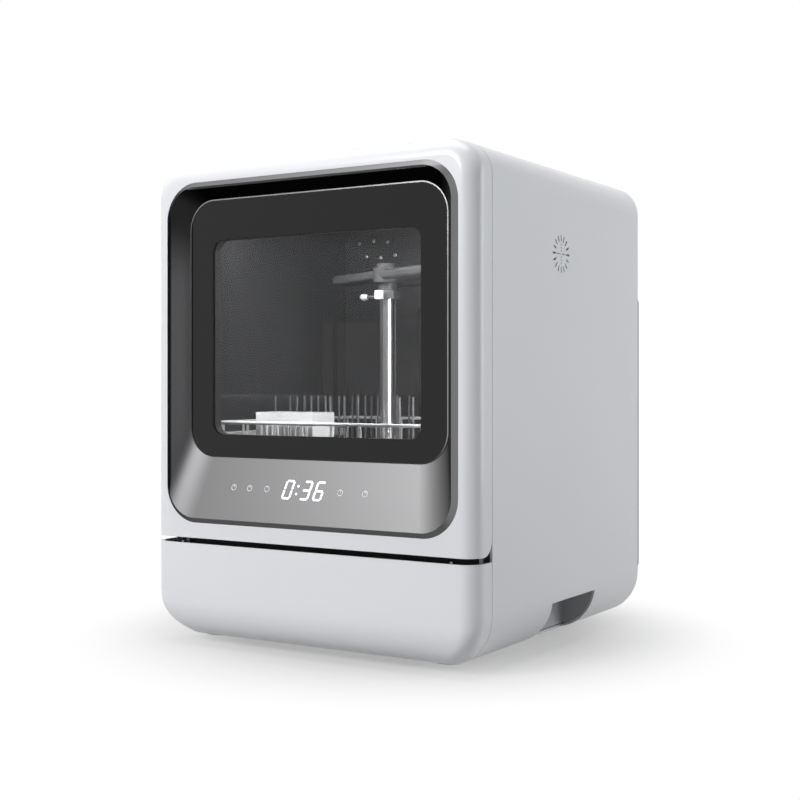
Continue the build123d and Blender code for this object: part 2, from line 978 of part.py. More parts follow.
with BuildPart() as glass_trim:
    extrude(
        glass_face(glass_y - trim_proud, -glass_gap),
        amount=-(glass_thickness + trim_proud),
        dir=(0, -1, 0),
    )
    extrude(
        glass_face(glass_y - trim_proud, -trim_width),
        amount=-(glass_thickness + trim_proud),
        dir=(0, -1, 0),
        mode=Mode.SUBTRACT,
    )
finish(glass_trim, "glass_trim")

with BuildPart() as outer_glass:
    extrude(
        glass_face(glass_y, -trim_width - glass_gap),
        amount=-glass_thickness,
        dir=(0, -1, 0),
    )
finish(outer_glass, "outer_glass")


def window_outline(grow):
    """Section of the window, grown outwards."""
    outline(
        window_half_width + grow,
        window_bottom - grow,
        window_top + grow,
        window_radius + grow,
        window_radius + grow,
    )


inner_glass_y = door_back_y - inner_glass_thickness

with BuildPart() as window_frame:
    with BuildSketch(front_plane(inner_glass_y)):
        window_outline(window_frame_width)
    extrude(amount=inner_glass_y - glass_back_y)
    with BuildSketch(front_plane(inner_glass_y)):
        window_outline(0)
    extrude(amount=inner_glass_y - glass_back_y, mode=Mode.SUBTRACT)
finish(window_frame, "window_frame")

with BuildPart() as inner_glass:
    with BuildSketch(front_plane(door_back_y)):
        window_outline(inner_glass_overlap)
    extrude(amount=inner_glass_thickness)
finish(inner_glass, "inner_glass")

with BuildPart() as inner_door_panel:
    with BuildSketch(front_plane(door_back_y)):
        outline(
            inner_panel_half_width,
            inner_panel_bottom,
            inner_panel_top,
            door_corner_radius,
            top_corner_radius - shell_wall - fit_gap,
        )
    extrude(amount=shell_wall)
    with BuildSketch(front_plane(door_back_y)):
        window_outline(inner_glass_overlap + fit_gap)
    extrude(amount=inner_glass_thickness, mode=Mode.SUBTRACT)
    hinge_slots()
finish(inner_door_panel, "inner_door_panel")


# ---------------------------------------------------------------------------
# Display on the slope between the bezel's crest and the glass
# ---------------------------------------------------------------------------
slope_foot = ring_bottom + bezel_bevel
slope_rise = glass_bottom - slope_foot
slope_angle = math.degrees(math.atan2(glass_recess, slope_rise))


def slope_plane(height, lift):
    """Plane on the slope at a height, lifted off its surface, with X across and Y up the slope."""
    share = (height - slope_foot) / slope_rise
    tilt = math.radians(slope_angle)
    normal = (0, -math.cos(tilt), math.sin(tilt))
    foot = Vector(0, crest_y + glass_recess * share, height) + Vector(*normal) * lift
    return Plane(origin=foot, x_dir=(1, 0, 0), z_dir=normal)


# segments of a seven-segment digit, as (across, up, upright) in half digits
SEGMENTS = {
    "top": (0, 1, False),
    "middle": (0, 0, False),
    "bottom": (0, -1, False),
    "upper_left": (-1, 0.5, True),
    "upper_right": (1, 0.5, True),
    "lower_left": (-1, -0.5, True),
    "lower_right": (1, -0.5, True),
}
DIGITS = {
    "0": ("top", "bottom", "upper_left", "upper_right", "lower_left", "lower_right"),
    "3": ("top", "middle", "bottom", "upper_right", "lower_right"),
    "6": ("top", "middle", "bottom", "upper_left", "lower_left", "lower_right"),
}


def digit_segment(centre_x, across, up, upright):
    """One slanted bar of a digit, on the active sketch."""
    reach_x = (digit_width - digit_stroke) / 2
    reach_y = (digit_height - digit_stroke) / 2
    slant = math.tan(math.radians(digit_slant))
    x = centre_x + across * reach_x + up * reach_y * slant
    length = reach_y - digit_stroke * 0.35 if upright else 2 * reach_x - digit_stroke * 0.35
    turn = 90 - digit_slant if upright else 0
    with Locations((x, up * reach_y)):
        SlotOverall(length, digit_stroke, rotation=turn)


with BuildPart() as display_digits:
    with BuildSketch(slope_plane(digit_centre_height, 0)):
        for digit, column_x in zip("036", digit_places):
            for segment in DIGITS[digit]:
                digit_segment(column_x, *SEGMENTS[segment])
        with Locations((colon_x - colon_lean, -colon_rise), (colon_x + colon_lean, colon_rise)):
            Circle(colon_radius)
    extrude(amount=print_thickness)
finish(display_digits, "display_digits")

with BuildPart() as key_marks:
    with BuildSketch(slope_plane(mark_centre_height, 0)):
        for mark_x in mark_positions:
            with Locations((mark_x, 0)):
                Circle(mark_radius)
                Circle(mark_radius - mark_stroke, mode=Mode.SUBTRACT)
                with Locations((0, mark_radius * 0.55)):
                    SlotOverall(mark_radius, mark_stroke, rotation=90)
    extrude(amount=print_thickness)
finish(key_marks, "key_marks")

with BuildPart() as display_board:
    with BuildSketch(slope_plane(digit_centre_height, -bezel_rise - display_spacer)):
        Rectangle(display_board_width, display_board_height)
    extrude(amount=-display_board_thickness)
    # light guides between the board and the slope
    with BuildSketch(slope_plane(digit_centre_height, -bezel_rise - display_spacer)):
        Rectangle(light_guide_width, digit_height)
    extrude(amount=display_spacer - fit_gap)
finish(display_board, "display_board")


# ---------------------------------------------------------------------------
# Hinges, latch and door switch
# ---------------------------------------------------------------------------
pin_inner_end = bracket_x - hinge_bracket_thickness / 2 - spring_length
pin_outer_end = half_width - shell_wall - 2 * fit_gap
pin_length = pin_outer_end - pin_inner_end

with BuildPart() as hinge_brackets:
    for side in both_sides(bracket_x):
        block(
            (
                side - hinge_bracket_thickness / 2,
                hinge_y,
                hinge_z - hinge_pin_radius - hinge_bracket_rim,
            ),
            (
                side + hinge_bracket_thickness / 2,
                flange_y,
                hinge_z + hinge_pin_radius + hinge_bracket_rim,
            ),
        )
        block(
            (side - hinge_bracket_thickness / 2, flange_y - hinge_bracket_thickness, sill_bottom),
            (
                side + hinge_bracket_thickness / 2,
                flange_y,
                hinge_z + hinge_pin_radius + hinge_bracket_rim,
            ),
        )
        rod(
            (side - hinge_bracket_thickness / 2, hinge_y, hinge_z),
            (1, 0, 0),
            hinge_bracket_thickness,
            hinge_pin_radius + hinge_bracket_rim,
        )
        rod(
            (side - hinge_bracket_thickness / 2, hinge_y, hinge_z),
            (1, 0, 0),
            hinge_bracket_thickness,
            hinge_pin_radius,
            Mode.SUBTRACT,
        )
finish(hinge_brackets, "hinge_brackets")

with BuildPart() as hinge_pins:
    for side in (-1, 1):
        rod((side * pin_inner_end, hinge_y, hinge_z), (side, 0, 0), pin_length, hinge_pin_radius)
finish(hinge_pins, "hinge_pins")

with BuildPart() as hinge_springs:
    for side in (-1, 1):
        coil_end = (side * pin_inner_end, hinge_y, hinge_z)
        coil_radius = hinge_pin_radius + fit_gap
        rod(coil_end, (side, 0, 0), spring_length - fit_gap, coil_radius + spring_wire)
        rod(coil_end, (side, 0, 0), spring_length, coil_radius, Mode.SUBTRACT)
finish(hinge_springs, "hinge_springs")

with BuildPart() as hinge_arms:
    for side in (-1, 1):
        inner_x = side * arm_inner_x
        outer_x = side * pin_outer_end
        block(
            (min(inner_x, outer_x), hinge_y - hinge_arm_front, hinge_z),
            (
                max(inner_x, outer_x),
                hinge_y - hinge_arm_front + hinge_arm_width,
                hinge_z + hinge_arm_length,
            ),
        )
        rod((inner_x, hinge_y, hinge_z), (side, 0, 0), hinge_arm_thickness, hinge_arm_width / 2)
        rod(
            (inner_x, hinge_y, hinge_z),
            (side, 0, 0),
            pin_length,
            hinge_pin_radius + hinge_pin_clearance,
            Mode.SUBTRACT,
        )
finish(hinge_arms, "hinge_arms")

latch_z = inner_roof - latch_drop
with BuildPart() as latch_housing:
    block(
        (-latch_width / 2, flange_y - latch_depth / 3, latch_z - latch_height / 2),
        (latch_width / 2, flange_y, latch_z + latch_height / 2),
    )
    block(
        (-latch_slot_width / 2, flange_y - latch_depth, latch_z - latch_slot_height / 2),
        (latch_slot_width / 2, flange_y + latch_depth, latch_z + latch_slot_height / 2),
        mode=Mode.SUBTRACT,
    )
finish(latch_housing, "latch_housing")

with BuildPart() as latch_striker:
    block(
        (-striker_width / 2, door_back_y, latch_z - striker_thickness / 2),
        (striker_width / 2, flange_y - striker_gap, latch_z + striker_thickness / 2),
    )
    fillet(latch_striker.faces().sort_by(Axis.Y)[-1].edges(), striker_rounding)
finish(latch_striker, "latch_striker")

with BuildPart() as door_switch:
    block(
        (switch_x - switch_size / 2, flange_y - switch_size / 2, latch_z - switch_size / 2),
        (switch_x + switch_size / 2, flange_y, latch_z + switch_size / 2),
    )
    rod(
        (switch_x, flange_y - switch_size, latch_z),
        (0, 1, 0),
        body_depth,
        plunger_radius + plunger_clearance,
        Mode.SUBTRACT,
    )
finish(door_switch, "door_switch")

with BuildPart() as switch_plunger:
    plunger_tip = door_back_y + fit_gap
    rod(
        (switch_x, plunger_tip, latch_z),
        (0, 1, 0),
        flange_y - plunger_tip - plunger_travel - plunger_spare,
        plunger_radius,
    )
    fillet(switch_plunger.faces().sort_by(Axis.Y)[0].edges(), plunger_rounding)
finish(switch_plunger, "switch_plunger")


# ---------------------------------------------------------------------------
# Rack: wire floor, side ladders, tines, runners, riser
# ---------------------------------------------------------------------------
def spread(low, high, count):
    """Evenly spaced places from low to high."""
    return [low + (high - low) * step / (count - 1) for step in range(count)]


with BuildPart() as rack_floor_grid:
    for wire_x in spread(-rack_half_width, rack_half_width, floor_wires_x):
        rod((wire_x, rack_front, rack_floor), (0, 1, 0), rack_back - rack_front, floor_wire_radius)
    # the cross wires lie on the long ones, welded a little way into them
    for wire_y in spread(rack_front + floor_end_inset, rack_back - floor_end_inset, floor_wires_y):
        rod(
            (-rack_half_width, wire_y, rack_floor + weld_step),
            (1, 0, 0),
            2 * rack_half_width,
            floor_wire_radius,
        )
    # room for the riser
    rod(
        (0, riser_y, rack_floor - collar_height),
        (0, 0, 1),
        2 * collar_height,
        riser_radius + fit_gap,
        Mode.SUBTRACT,
    )
finish(rack_floor_grid, "rack_floor")


def ladder(start, step, length, count):
    """Flat side of the rack: a rim wire on a row of posts."""
    direction = Vector(*step)
    post_foot = rack_floor_top + wire_gap
    rim = Vector(start[0], start[1], rack_rim)
    rod(tuple(rim), step, length, rim_wire_radius)
    for place in spread(post_wire_radius * 2, length - post_wire_radius * 2, count):
        foot = Vector(start[0], start[1], post_foot) + direction * place
        rod(tuple(foot), (0, 0, 1), rack_rim - post_foot, post_wire_radius)


side_inset = 2 * rim_wire_radius + fit_gap
with BuildPart() as rack_rim_wires:
    for end_y in (rack_front, rack_back):
        ladder((-rack_half_width, end_y), (1, 0, 0), 2 * rack_half_width, posts_x)
    for side in both_sides(rack_half_width):
        ladder(
            (side, rack_front + side_inset),
            (0, 1, 0),
            rack_back - rack_front - 2 * side_inset,
            posts_y,
        )
finish(rack_rim_wires, "rack_rim")

with BuildPart() as rack_tines:
    base_z = rack_floor_top + tine_base_radius + wire_gap
    for row_x in tine_rows:
        row_length = tine_pitch * (tine_count - 1) + 2 * tine_overhang
        rod((row_x, tine_first - tine_overhang, base_z), (0, 1, 0), row_length, tine_base_radius)
        for step in range(tine_count):
            rod(
                (row_x, tine_first + step * tine_pitch, base_z),
                (0, 0, 1),
                tine_top - base_z,
                tine_radius,
            )
finish(rack_tines, "rack_tines")

with BuildPart() as rack_runners:
    for side in (-1, 1):
        for end_y in (rack_front + runner_end_inset, rack_back - runner_length - runner_end_inset):
            inner_x = side * (rack_half_width + post_wire_radius + fit_gap)
            outer_x = side * (tub_half_width - rail_wall - fit_gap)
            block(
                (min(inner_x, outer_x), end_y, runner_z - runner_height / 2),
                (max(inner_x, outer_x), end_y + runner_length, runner_z + runner_height / 2),
            )
    fillet(rack_runners.edges().filter_by(Axis.Z), runner_rounding)
finish(rack_runners, "rack_runners")

with BuildPart() as riser_collar:
    rod(
        (0, riser_y, rack_floor - collar_height / 2),
        (0, 0, 1),
        collar_height / 2 - floor_wire_radius - wire_gap,
        collar_radius,
    )
    rod(
        (0, riser_y, riser_bottom),
        (0, 0, 1),
        rack_floor - floor_wire_radius - riser_bottom,
        riser_radius + collar_wall,
    )
    rod((0, riser_y, riser_bottom), (0, 0, 1), body_height, riser_radius + wire_gap, Mode.SUBTRACT)
finish(riser_collar, "riser_collar")

with BuildPart() as riser_tube:
    rod((0, riser_y, riser_bottom), (0, 0, 1), riser_top - riser_bottom, riser_radius)
    rod((0, riser_y, riser_bottom), (0, 0, 1), riser_top - riser_bottom, riser_bore, Mode.SUBTRACT)
finish(riser_tube, "riser_tube")

upper_shoulder = upper_arm_bottom - arm_play
upper_arm_top = upper_arm_bottom + arm_hub_height
with BuildPart() as upper_arm_hub:
    rod(
        (0, riser_y, riser_top),
        (0, 0, 1),
        upper_shoulder - riser_top,
        arm_bearing_radius + arm_bearing_wall,
    )
    rod(
        (0, riser_y, riser_top),
        (0, 0, 1),
        upper_arm_top + arm_play - riser_top,
        arm_bearing_radius - arm_bearing_clearance,
    )
    rod(
        (0, riser_y, riser_top),
        (0, 0, 1),
        body_height,
        arm_bearing_radius - arm_bearing_wall,
        Mode.SUBTRACT,
    )
    rod((0, riser_y, upper_arm_top + arm_play), (0, 0, 1), arm_cap_height, arm_cap_radius)
finish(upper_arm_hub, "upper_arm_hub")


# ---------------------------------------------------------------------------
# Cutlery basket: slatted box with one divider
# ---------------------------------------------------------------------------
with BuildPart() as cutlery_basket:
    basket_low = (cutlery_left, cutlery_front, rack_floor_top + fit_gap)
    basket_high = (cutlery_right, cutlery_front + cutlery_depth, cutlery_top)
    block(basket_low, basket_high)
    for part_x in (0, 1):
        middle = (cutlery_left + cutlery_right) / 2
        cell_low = (cutlery_left, middle)[part_x] + cutlery_wall * (1, 0.5)[part_x]
        cell_high = (middle, cutlery_right)[part_x] - cutlery_wall * (0.5, 1)[part_x]
        block(
            (cell_low, basket_low[1] + cutlery_wall, basket_low[2] + cutlery_wall),
            (cell_high, basket_high[1] - cutlery_wall, basket_high[2]),
            mode=Mode.SUBTRACT,
        )
    # slots in the front and back walls, under a solid band at the top
    slot_top = cutlery_top - cutlery_band
    cutlery_slot_pitch = (cutlery_right - cutlery_left) / (cutlery_slots + 1)
    slot_height = slot_top - basket_low[2] - 2 * cutlery_wall
    with BuildSketch(front_plane(basket_high[1])):
        with Locations(((cutlery_left + cutlery_right) / 2, slot_top - slot_height / 2)):
            with GridLocations(cutlery_slot_pitch, 0, cutlery_slots, 1):
                SlotOverall(slot_height, cutlery_slot_width, rotation=90)
    extrude(amount=cutlery_depth, mode=Mode.SUBTRACT)
finish(cutlery_basket, "cutlery_basket")


# ---------------------------------------------------------------------------
# Pumps: each a hollow volute on a motor, with a bladed wheel inside
# ---------------------------------------------------------------------------
def bladed_wheel(x, y, z, side, radius, length, hub, blades, thickness):
    """Back disc, hub and straight blades about an axis along X, on the active part."""
    disc = thickness * 1.5
    rod((x, y, z), (side, 0, 0), disc, radius)
    rod((x, y, z), (side, 0, 0), length, hub)
    with BuildSketch(side_plane(x), mode=Mode.PRIVATE) as blade_face:
        with Locations((y, z)):
            with PolarLocations((radius + hub) / 2, blades):
                Rectangle(radius - hub + 2 * blade_overlap, thickness)
            Circle(radius, mode=Mode.INTERSECT)
    extrude(blade_face.sketch, amount=length, dir=(side, 0, 0))


def pump_volute(place, radius, length, shaft_radius):
    """Hollow round chamber with its inlet, outlet and shaft hole, on the active part."""
    x, y, z = place
    side = math.copysign(1, x)
    inner = x - side * length / 2
    outer = x + side * length / 2
    rod((inner, y, z), (side, 0, 0), length, radius)
    rod(
        (inner + side * volute_wall, y, z),
        (side, 0, 0),
        length - 2 * volute_wall,
        radius - volute_wall,
        Mode.SUBTRACT,
    )
    rod((inner, y, z), (side, 0, 0), volute_wall, radius / 4, Mode.SUBTRACT)
    rod((outer, y, z), (-side, 0, 0), volute_wall, shaft_radius + fit_gap, Mode.SUBTRACT)
    rod((x, y, z + radius / 2), (0, 0, 1), radius, radius / 5, Mode.SUBTRACT)


def pump_motor(place, volute_length_here, radius, length, shaft_radius):
    """Round motor on the volute's outer end, with shaft bore and cooling grooves."""
    x, y, z = place
    side = math.copysign(1, x)
    outer = x + side * volute_length_here / 2
    rod((outer, y, z), (side, 0, 0), length, radius)
    rod((outer, y, z), (side, 0, 0), length / 3, shaft_radius + shaft_clearance, Mode.SUBTRACT)
    with BuildSketch(side_plane(outer + side * length / 2), mode=Mode.PRIVATE) as grooves:
        with Locations((y, z)):
            with PolarLocations(radius, motor_grooves):
                Rectangle(2 * groove_depth, groove_width)
    extrude(grooves.sketch, amount=length / 2.5, dir=(side, 0, 0), mode=Mode.SUBTRACT)


def pump_wheel(place, radius, length, motor_length, shaft_radius, name):
    """Impeller inside a volute, on the shaft that runs in the motor."""
    x, y, z = place
    side = math.copysign(1, x)
    wheel_x = x + side * (length / 2 - volute_wall - impeller_clearance / 2)
    wheel_radius = radius - volute_wall - impeller_clearance
    wheel_length = length - 2 * volute_wall - impeller_clearance
    hub = min(impeller_hub_radius, wheel_radius / 2)
    with BuildPart() as impeller:
        bladed_wheel(
            wheel_x,
            y,
            z,
            -side,
            wheel_radius,
            wheel_length,
            hub,
            impeller_blades,
            impeller_blade_thickness,
        )
        rod((wheel_x, y, z), (side, 0, 0), motor_length / 4, shaft_radius)
    finish(impeller, name)


pump_z = base_top + volute_radius + fit_gap
drain_pump_z = base_top + drain_volute_radius + fit_gap
wash_place = (volute_x, pump_y, pump_z)
drain_place = (drain_volute_x, pump_y, drain_pump_z)

with BuildPart() as pump_volutes:
    pump_volute(wash_place, volute_radius, volute_length, wash_shaft_radius)
    pump_volute(drain_place, drain_volute_radius, drain_volute_length, drain_shaft_radius)
finish(pump_volutes, "pump_volutes")

with BuildPart() as pump_motors:
    pump_motor(wash_place, volute_length, wash_motor_radius, wash_motor_length, wash_shaft_radius)
    pump_motor(
        drain_place,
        drain_volute_length,
        drain_motor_radius,
        drain_motor_length,
        drain_shaft_radius,
    )
finish(pump_motors, "pump_motors")

pump_wheel(
    wash_place,
    volute_radius,
    volute_length,
    wash_motor_length,
    wash_shaft_radius,
    "wash_impeller",
)
pump_wheel(
    drain_place,
    drain_volute_radius,
    drain_volute_length,
    drain_motor_length,
    drain_shaft_radius,
    "drain_impeller",
)

with BuildPart() as water_heater:
    heater_place = (-heater_length / 2, heater_y, base_top + heater_radius + fit_gap)
    rod(heater_place, (1, 0, 0), heater_length, heater_radius)
    fillet(water_heater.faces().filter_by(Axis.X).edges(), heater_rounding)
    # two terminals
    for terminal_x in both_sides(heater_length / 4):
        rod(
            (terminal_x, heater_y, heater_place[2]),
            (0, 0, 1),
            heater_radius + terminal_height,
            terminal_radius,
        )
finish(water_heater, "water_heater")


# ---------------------------------------------------------------------------
# Hoses
# ---------------------------------------------------------------------------
def hose(points, radius):
    """Bent tube through its corner points, on the active part."""
    runs = [(Vector(*end) - Vector(*begin)).length for begin, end in zip(points, points[1:])]
    rooms = [runs[0], *(run / 2 for run in runs[1:-1]), runs[-1]]
    with BuildLine(mode=Mode.PRIVATE) as route:
        FilletPolyline(*points, radius=min(hose_bend, min(rooms) - fit_gap))
    start = Vector(*points[0])
    mouth = Plane(origin=start, z_dir=Vector(*points[1]) - start)
    with BuildSketch(mouth, mode=Mode.PRIVATE) as section:
        Circle(radius)
        Circle(radius - hose_wall, mode=Mode.SUBTRACT)
    sweep(section.sketch, path=route.wire())


sump_floor = sump_top - sump_depth
with BuildPart() as spray_feed_pipe:
    hose(
        [
            (volute_x, pump_y, pump_z + volute_radius + fit_gap),
            (volute_x, pump_y, feed_z),
            (volute_x, riser_y, feed_z),
            (0, riser_y, feed_z),
            (0, riser_y, tub_floor - hose_bend - fit_gap),
        ],
        arm_bearing_radius,
    )
finish(spray_feed_pipe, "spray_feed_pipe")

drain_run_y = pump_y + volute_radius + drain_hose_radius + drain_run_gap
valve_y = niche_y - valve_body / 2 - fit_gap
with BuildPart() as hoses:
    # sump to the wash pump
    hose(
        [
            (-sump_outlet_x, sump_outlet_y, sump_floor - fit_gap),
            (-sump_outlet_x, sump_outlet_y, pump_z),
            (-sump_outlet_x, pump_y, pump_z),
            (volute_x + volute_length / 2 + fit_gap, pump_y, pump_z),
        ],
        wash_hose_radius,
    )
    # sump to the drain pump
    hose(
        [
            (sump_outlet_x, sump_outlet_y, sump_floor - fit_gap),
            (sump_outlet_x, sump_outlet_y, drain_pump_z),
            (sump_outlet_x, pump_y, drain_pump_z),
            (drain_volute_x - drain_volute_length / 2 - fit_gap, pump_y, drain_pump_z),
        ],
        drain_hose_radius,
    )
    # drain pump up, across the back and down to the spigot
    hose(
        [
            (drain_volute_x, pump_y, drain_pump_z + drain_volute_radius + fit_gap),
            (drain_volute_x, pump_y, feed_z),
            (drain_volute_x, drain_run_y, feed_z),
            (drain_x, drain_run_y, feed_z),
            (drain_x, drain_run_y, connection_height),
            (drain_x, niche_y - fit_gap, connection_height),
        ],
        drain_hose_radius,
    )
    # inlet valve up behind the tub and into its back wall
    hose(
        [
            (inlet_x, valve_y, connection_height + valve_body / 2 + fit_gap),
            (inlet_x, valve_y, inlet_port_z),
            (inlet_x, tub_back + tub_wall + fit_gap, inlet_port_z),
        ],
        inlet_hose_radius,
    )
finish(hoses, "hoses")


# ---------------------------------------------------------------------------
# Back: panel with a niche for the connections, and the cover over it
# ---------------------------------------------------------------------------
back_half_width = half_width - shell_wall - fit_gap
with BuildPart() as back_panel:
    with BuildSketch(front_plane(casing_back_y)):
        outline(
            back_half_width,
            niche_top,
            inner_roof - fit_gap,
            rear_cover_radius,
            top_corner_radius - shell_wall - fit_gap,
        )
    extrude(amount=back_panel_thickness)
    # roof of the niche
    block(
        (-back_half_width + top_corner_radius, niche_y, niche_top),
        (back_half_width - top_corner_radius, casing_back_y, niche_top + back_panel_thickness),
    )
    # wall that carries the connections
    block(
        (-base_slot_half_width, niche_y, base_top),
        (base_slot_half_width, niche_y + back_panel_thickness, niche_top + back_panel_thickness),
    )
    necks = (
        (inlet_x, inlet_thread_radius - neck_step),
        (drain_x, drain_spigot_radius - neck_step),
        (gland_x, gland_radius - gland_neck_step),
    )
    for connection_x, neck_radius in necks:
        place = (connection_x, niche_y, connection_height)
        rod(place, (0, 1, 0), back_panel_thickness, neck_radius + fit_gap, Mode.SUBTRACT)
finish(back_panel, "back_panel")

screw_x = half_width - screw_side_inset
screw_heights = (
    rear_cover_bottom + screw_end_inset,
    (rear_cover_bottom + rear_cover_top) / 2,
    rear_cover_top - screw_end_inset,
)
with BuildPart() as rear_cover:
    with BuildSketch(front_plane(cover_back_y)):
        outline(
            half_width - rear_cover_inset,
            rear_cover_bottom,
            rear_cover_top,
            rear_cover_radius,
            rear_cover_radius,
        )
    extrude(amount=rear_cover_thickness)
    with BuildSketch(front_plane(cover_back_y)):
        with Locations((0, louvre_bottom + louvre_pitch * louvre_count / 2)):
            with GridLocations(louvre_width * 1.3, louvre_pitch, 2, louvre_count):
                SlotOverall(louvre_width, louvre_height)
    extrude(amount=rear_cover_thickness, mode=Mode.SUBTRACT)
    for screw_height in screw_heights:
        for side in both_sides(screw_x):
            rod(
                (side, cover_back_y, screw_height),
                (0, -1, 0),
                screw_head_height + screw_sink,
                screw_head_radius + screw_clearance,
                Mode.SUBTRACT,
            )
            rod(
                (side, cover_back_y, screw_height),
                (0, -1, 0),
                rear_cover_thickness,
                (screw_head_radius + screw_clearance) / 2,
                Mode.SUBTRACT,
            )
finish(rear_cover, "rear_cover")

with BuildPart() as rear_screws:
    for screw_height in screw_heights:
        for side in both_sides(screw_x):
            rod(
                (side, cover_back_y - screw_sink, screw_height),
                (0, -1, 0),
                screw_head_height,
                screw_head_radius,
            )
            rod(
                (side, cover_back_y - screw_sink, screw_height),
                (0, -1, 0),
                rear_cover_thickness - fit_gap,
                screw_head_radius / 2,
            )
finish(rear_screws, "rear_screws")

with BuildPart() as inlet_valve:
    block(
        (inlet_x - valve_body / 2, valve_y - valve_body / 2, connection_height - valve_body / 2),
        (inlet_x + valve_body / 2, valve_y + valve_body / 2, connection_height + valve_body / 2),
    )
    fillet(inlet_valve.edges().filter_by(Axis.Y), valve_rounding)
    # neck through the niche wall, then the threaded end
    neck = back_panel_thickness + fit_gap
    rod(
        (inlet_x, valve_y + valve_body / 2, connection_height),
        (0, 1, 0),
        neck,
        inlet_thread_radius - neck_step,
    )
    rod(
        (inlet_x, niche_y + back_panel_thickness, connection_height),
        (0, 1, 0),
        inlet_thread_length,
        inlet_thread_radius,
    )
    rod(
        (inlet_x, valve_y + valve_body / 2, connection_height),
        (0, 1, 0),
        niche_depth,
        inlet_bore,
        Mode.SUBTRACT,
    )
    # solenoid on the side of the body
    rod(
        (inlet_x - valve_body / 2, valve_y, connection_height),
        (-1, 0, 0),
        solenoid_length,
        solenoid_radius,
    )
finish(inlet_valve, "inlet_valve")

with BuildPart() as rear_fittings:
    # drain spigot
    rod(
        (drain_x, niche_y, connection_height),
        (0, 1, 0),
        back_panel_thickness,
        drain_spigot_radius - neck_step,
    )
    rod(
        (drain_x, niche_y + back_panel_thickness, connection_height),
        (0, 1, 0),
        drain_spigot_length,
        drain_spigot_radius,
    )
    rod(
        (drain_x, niche_y, connection_height),
        (0, 1, 0),
        body_depth,
        drain_spigot_bore,
        Mode.SUBTRACT,
    )
    # gland for the supply cord
    rod(
        (gland_x, niche_y + back_panel_thickness, connection_height),
        (0, 1, 0),
        gland_length,
        gland_radius,
    )
    rod(
        (gland_x, niche_y, connection_height),
        (0, 1, 0),
        back_panel_thickness + gland_length,
        gland_radius - gland_neck_step,
    )
    rod((gland_x, niche_y, connection_height), (0, 1, 0), body_depth, gland_bore, Mode.SUBTRACT)
finish(rear_fittings, "rear_fittings")


# ---------------------------------------------------------------------------
# Drying fan behind the side vent
# ---------------------------------------------------------------------------
fan_outer_x = half_width - shell_wall - fit_gap
fan_inner_x = fan_outer_x - fan_depth
with BuildPart() as fan_housing:
    rod((fan_inner_x, vent_y, vent_z), (1, 0, 0), fan_depth, vent_radius + 2 * fan_wall)
    rod(
        (fan_inner_x + fan_floor, vent_y, vent_z),
        (1, 0, 0),
        fan_depth,
        vent_radius + fan_wall,
        Mode.SUBTRACT,
    )
    # duct to the tub and the openings round the shaft's boss
    rod(
        (fan_inner_x, vent_y, vent_z),
        (-1, 0, 0),
        fan_inner_x - tub_half_width - tub_wall - fit_gap,
        duct_radius + fan_wall,
    )
    rod((fan_inner_x, vent_y, vent_z), (-1, 0, 0), fan_depth, duct_radius, Mode.SUBTRACT)
    with BuildSketch(side_plane(fan_inner_x)):
        with Locations((vent_y, vent_z)):
            with PolarLocations(duct_port_circle, 4):
                Rectangle(duct_port_depth, duct_port_width)
    extrude(amount=fan_floor, mode=Mode.SUBTRACT)
    rod((fan_inner_x, vent_y, vent_z), (1, 0, 0), fan_depth - fan_shaft_set, fan_shaft_radius)
finish(fan_housing, "fan_housing")

with BuildPart() as fan_rotor:
    rotor_x = fan_inner_x + fan_floor + fan_rotor_gap
    rotor_length = fan_depth - fan_floor - fan_rotor_gap - fan_rotor_set
    rod((rotor_x, vent_y, vent_z), (1, 0, 0), rotor_length, fan_hub_radius)
    with BuildSketch(side_plane(rotor_x)):
        with Locations((vent_y, vent_z)):
            with PolarLocations((fan_rotor_radius + fan_hub_radius) / 2, fan_blades):
                Rectangle(fan_rotor_radius - fan_hub_radius + fan_blade_root, fan_blade_thickness)
    extrude(amount=rotor_length - fan_blade_set)
    rod(
        (rotor_x, vent_y, vent_z),
        (1, 0, 0),
        rotor_length,
        fan_shaft_radius + fan_shaft_clearance,
        Mode.SUBTRACT,
    )
finish(fan_rotor, "fan_rotor")


# ---------------------------------------------------------------------------
# Electronics
# ---------------------------------------------------------------------------
box_low = (control_box_x - control_box_width / 2, control_box_y - control_box_depth / 2, base_top)
box_high = (
    box_low[0] + control_box_width,
    box_low[1] + control_box_depth,
    base_top + control_box_height,
)
with BuildPart() as control_box:
    block(box_low, box_high)
    block(
        tuple(low + control_box_wall for low in box_low),
        (box_high[0] - control_box_wall, box_high[1] - control_box_wall, box_high[2]),
        mode=Mode.SUBTRACT,
    )
    # ledge posts for the board
    for post_x in (box_low[0] + board_post_set, box_high[0] - board_post_set):
        for post_y in (box_low[1] + board_post_set, box_high[1] - board_post_set):
            rod((post_x, post_y, base_top), (0, 0, 1), control_box_height / 2, board_post_radius)
finish(control_box, "control_box")

with BuildPart() as control_board:
    board_z = base_top + control_box_height / 2
    clear = control_box_wall + fit_gap
    block(
        (box_low[0] + clear, box_low[1] + clear, board_z),
        (box_high[0] - clear, box_high[1] - clear, board_z + board_thickness),
    )
    # relay, transformer and capacitor
    for place, size in ((relay_place, relay_size), (transformer_place, transformer_size)):
        corner = (box_low[0] + place[0], box_low[1] + place[1], board_z)
        block(corner, tuple(low + length for low, length in zip(corner, size)))
    rod(
        (box_low[0] + capacitor_place[0], box_low[1] + capacitor_place[1], board_z),
        (0, 0, 1),
        capacitor_height,
        capacitor_radius,
    )
finish(control_board, "control_board")
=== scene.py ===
import json
import math

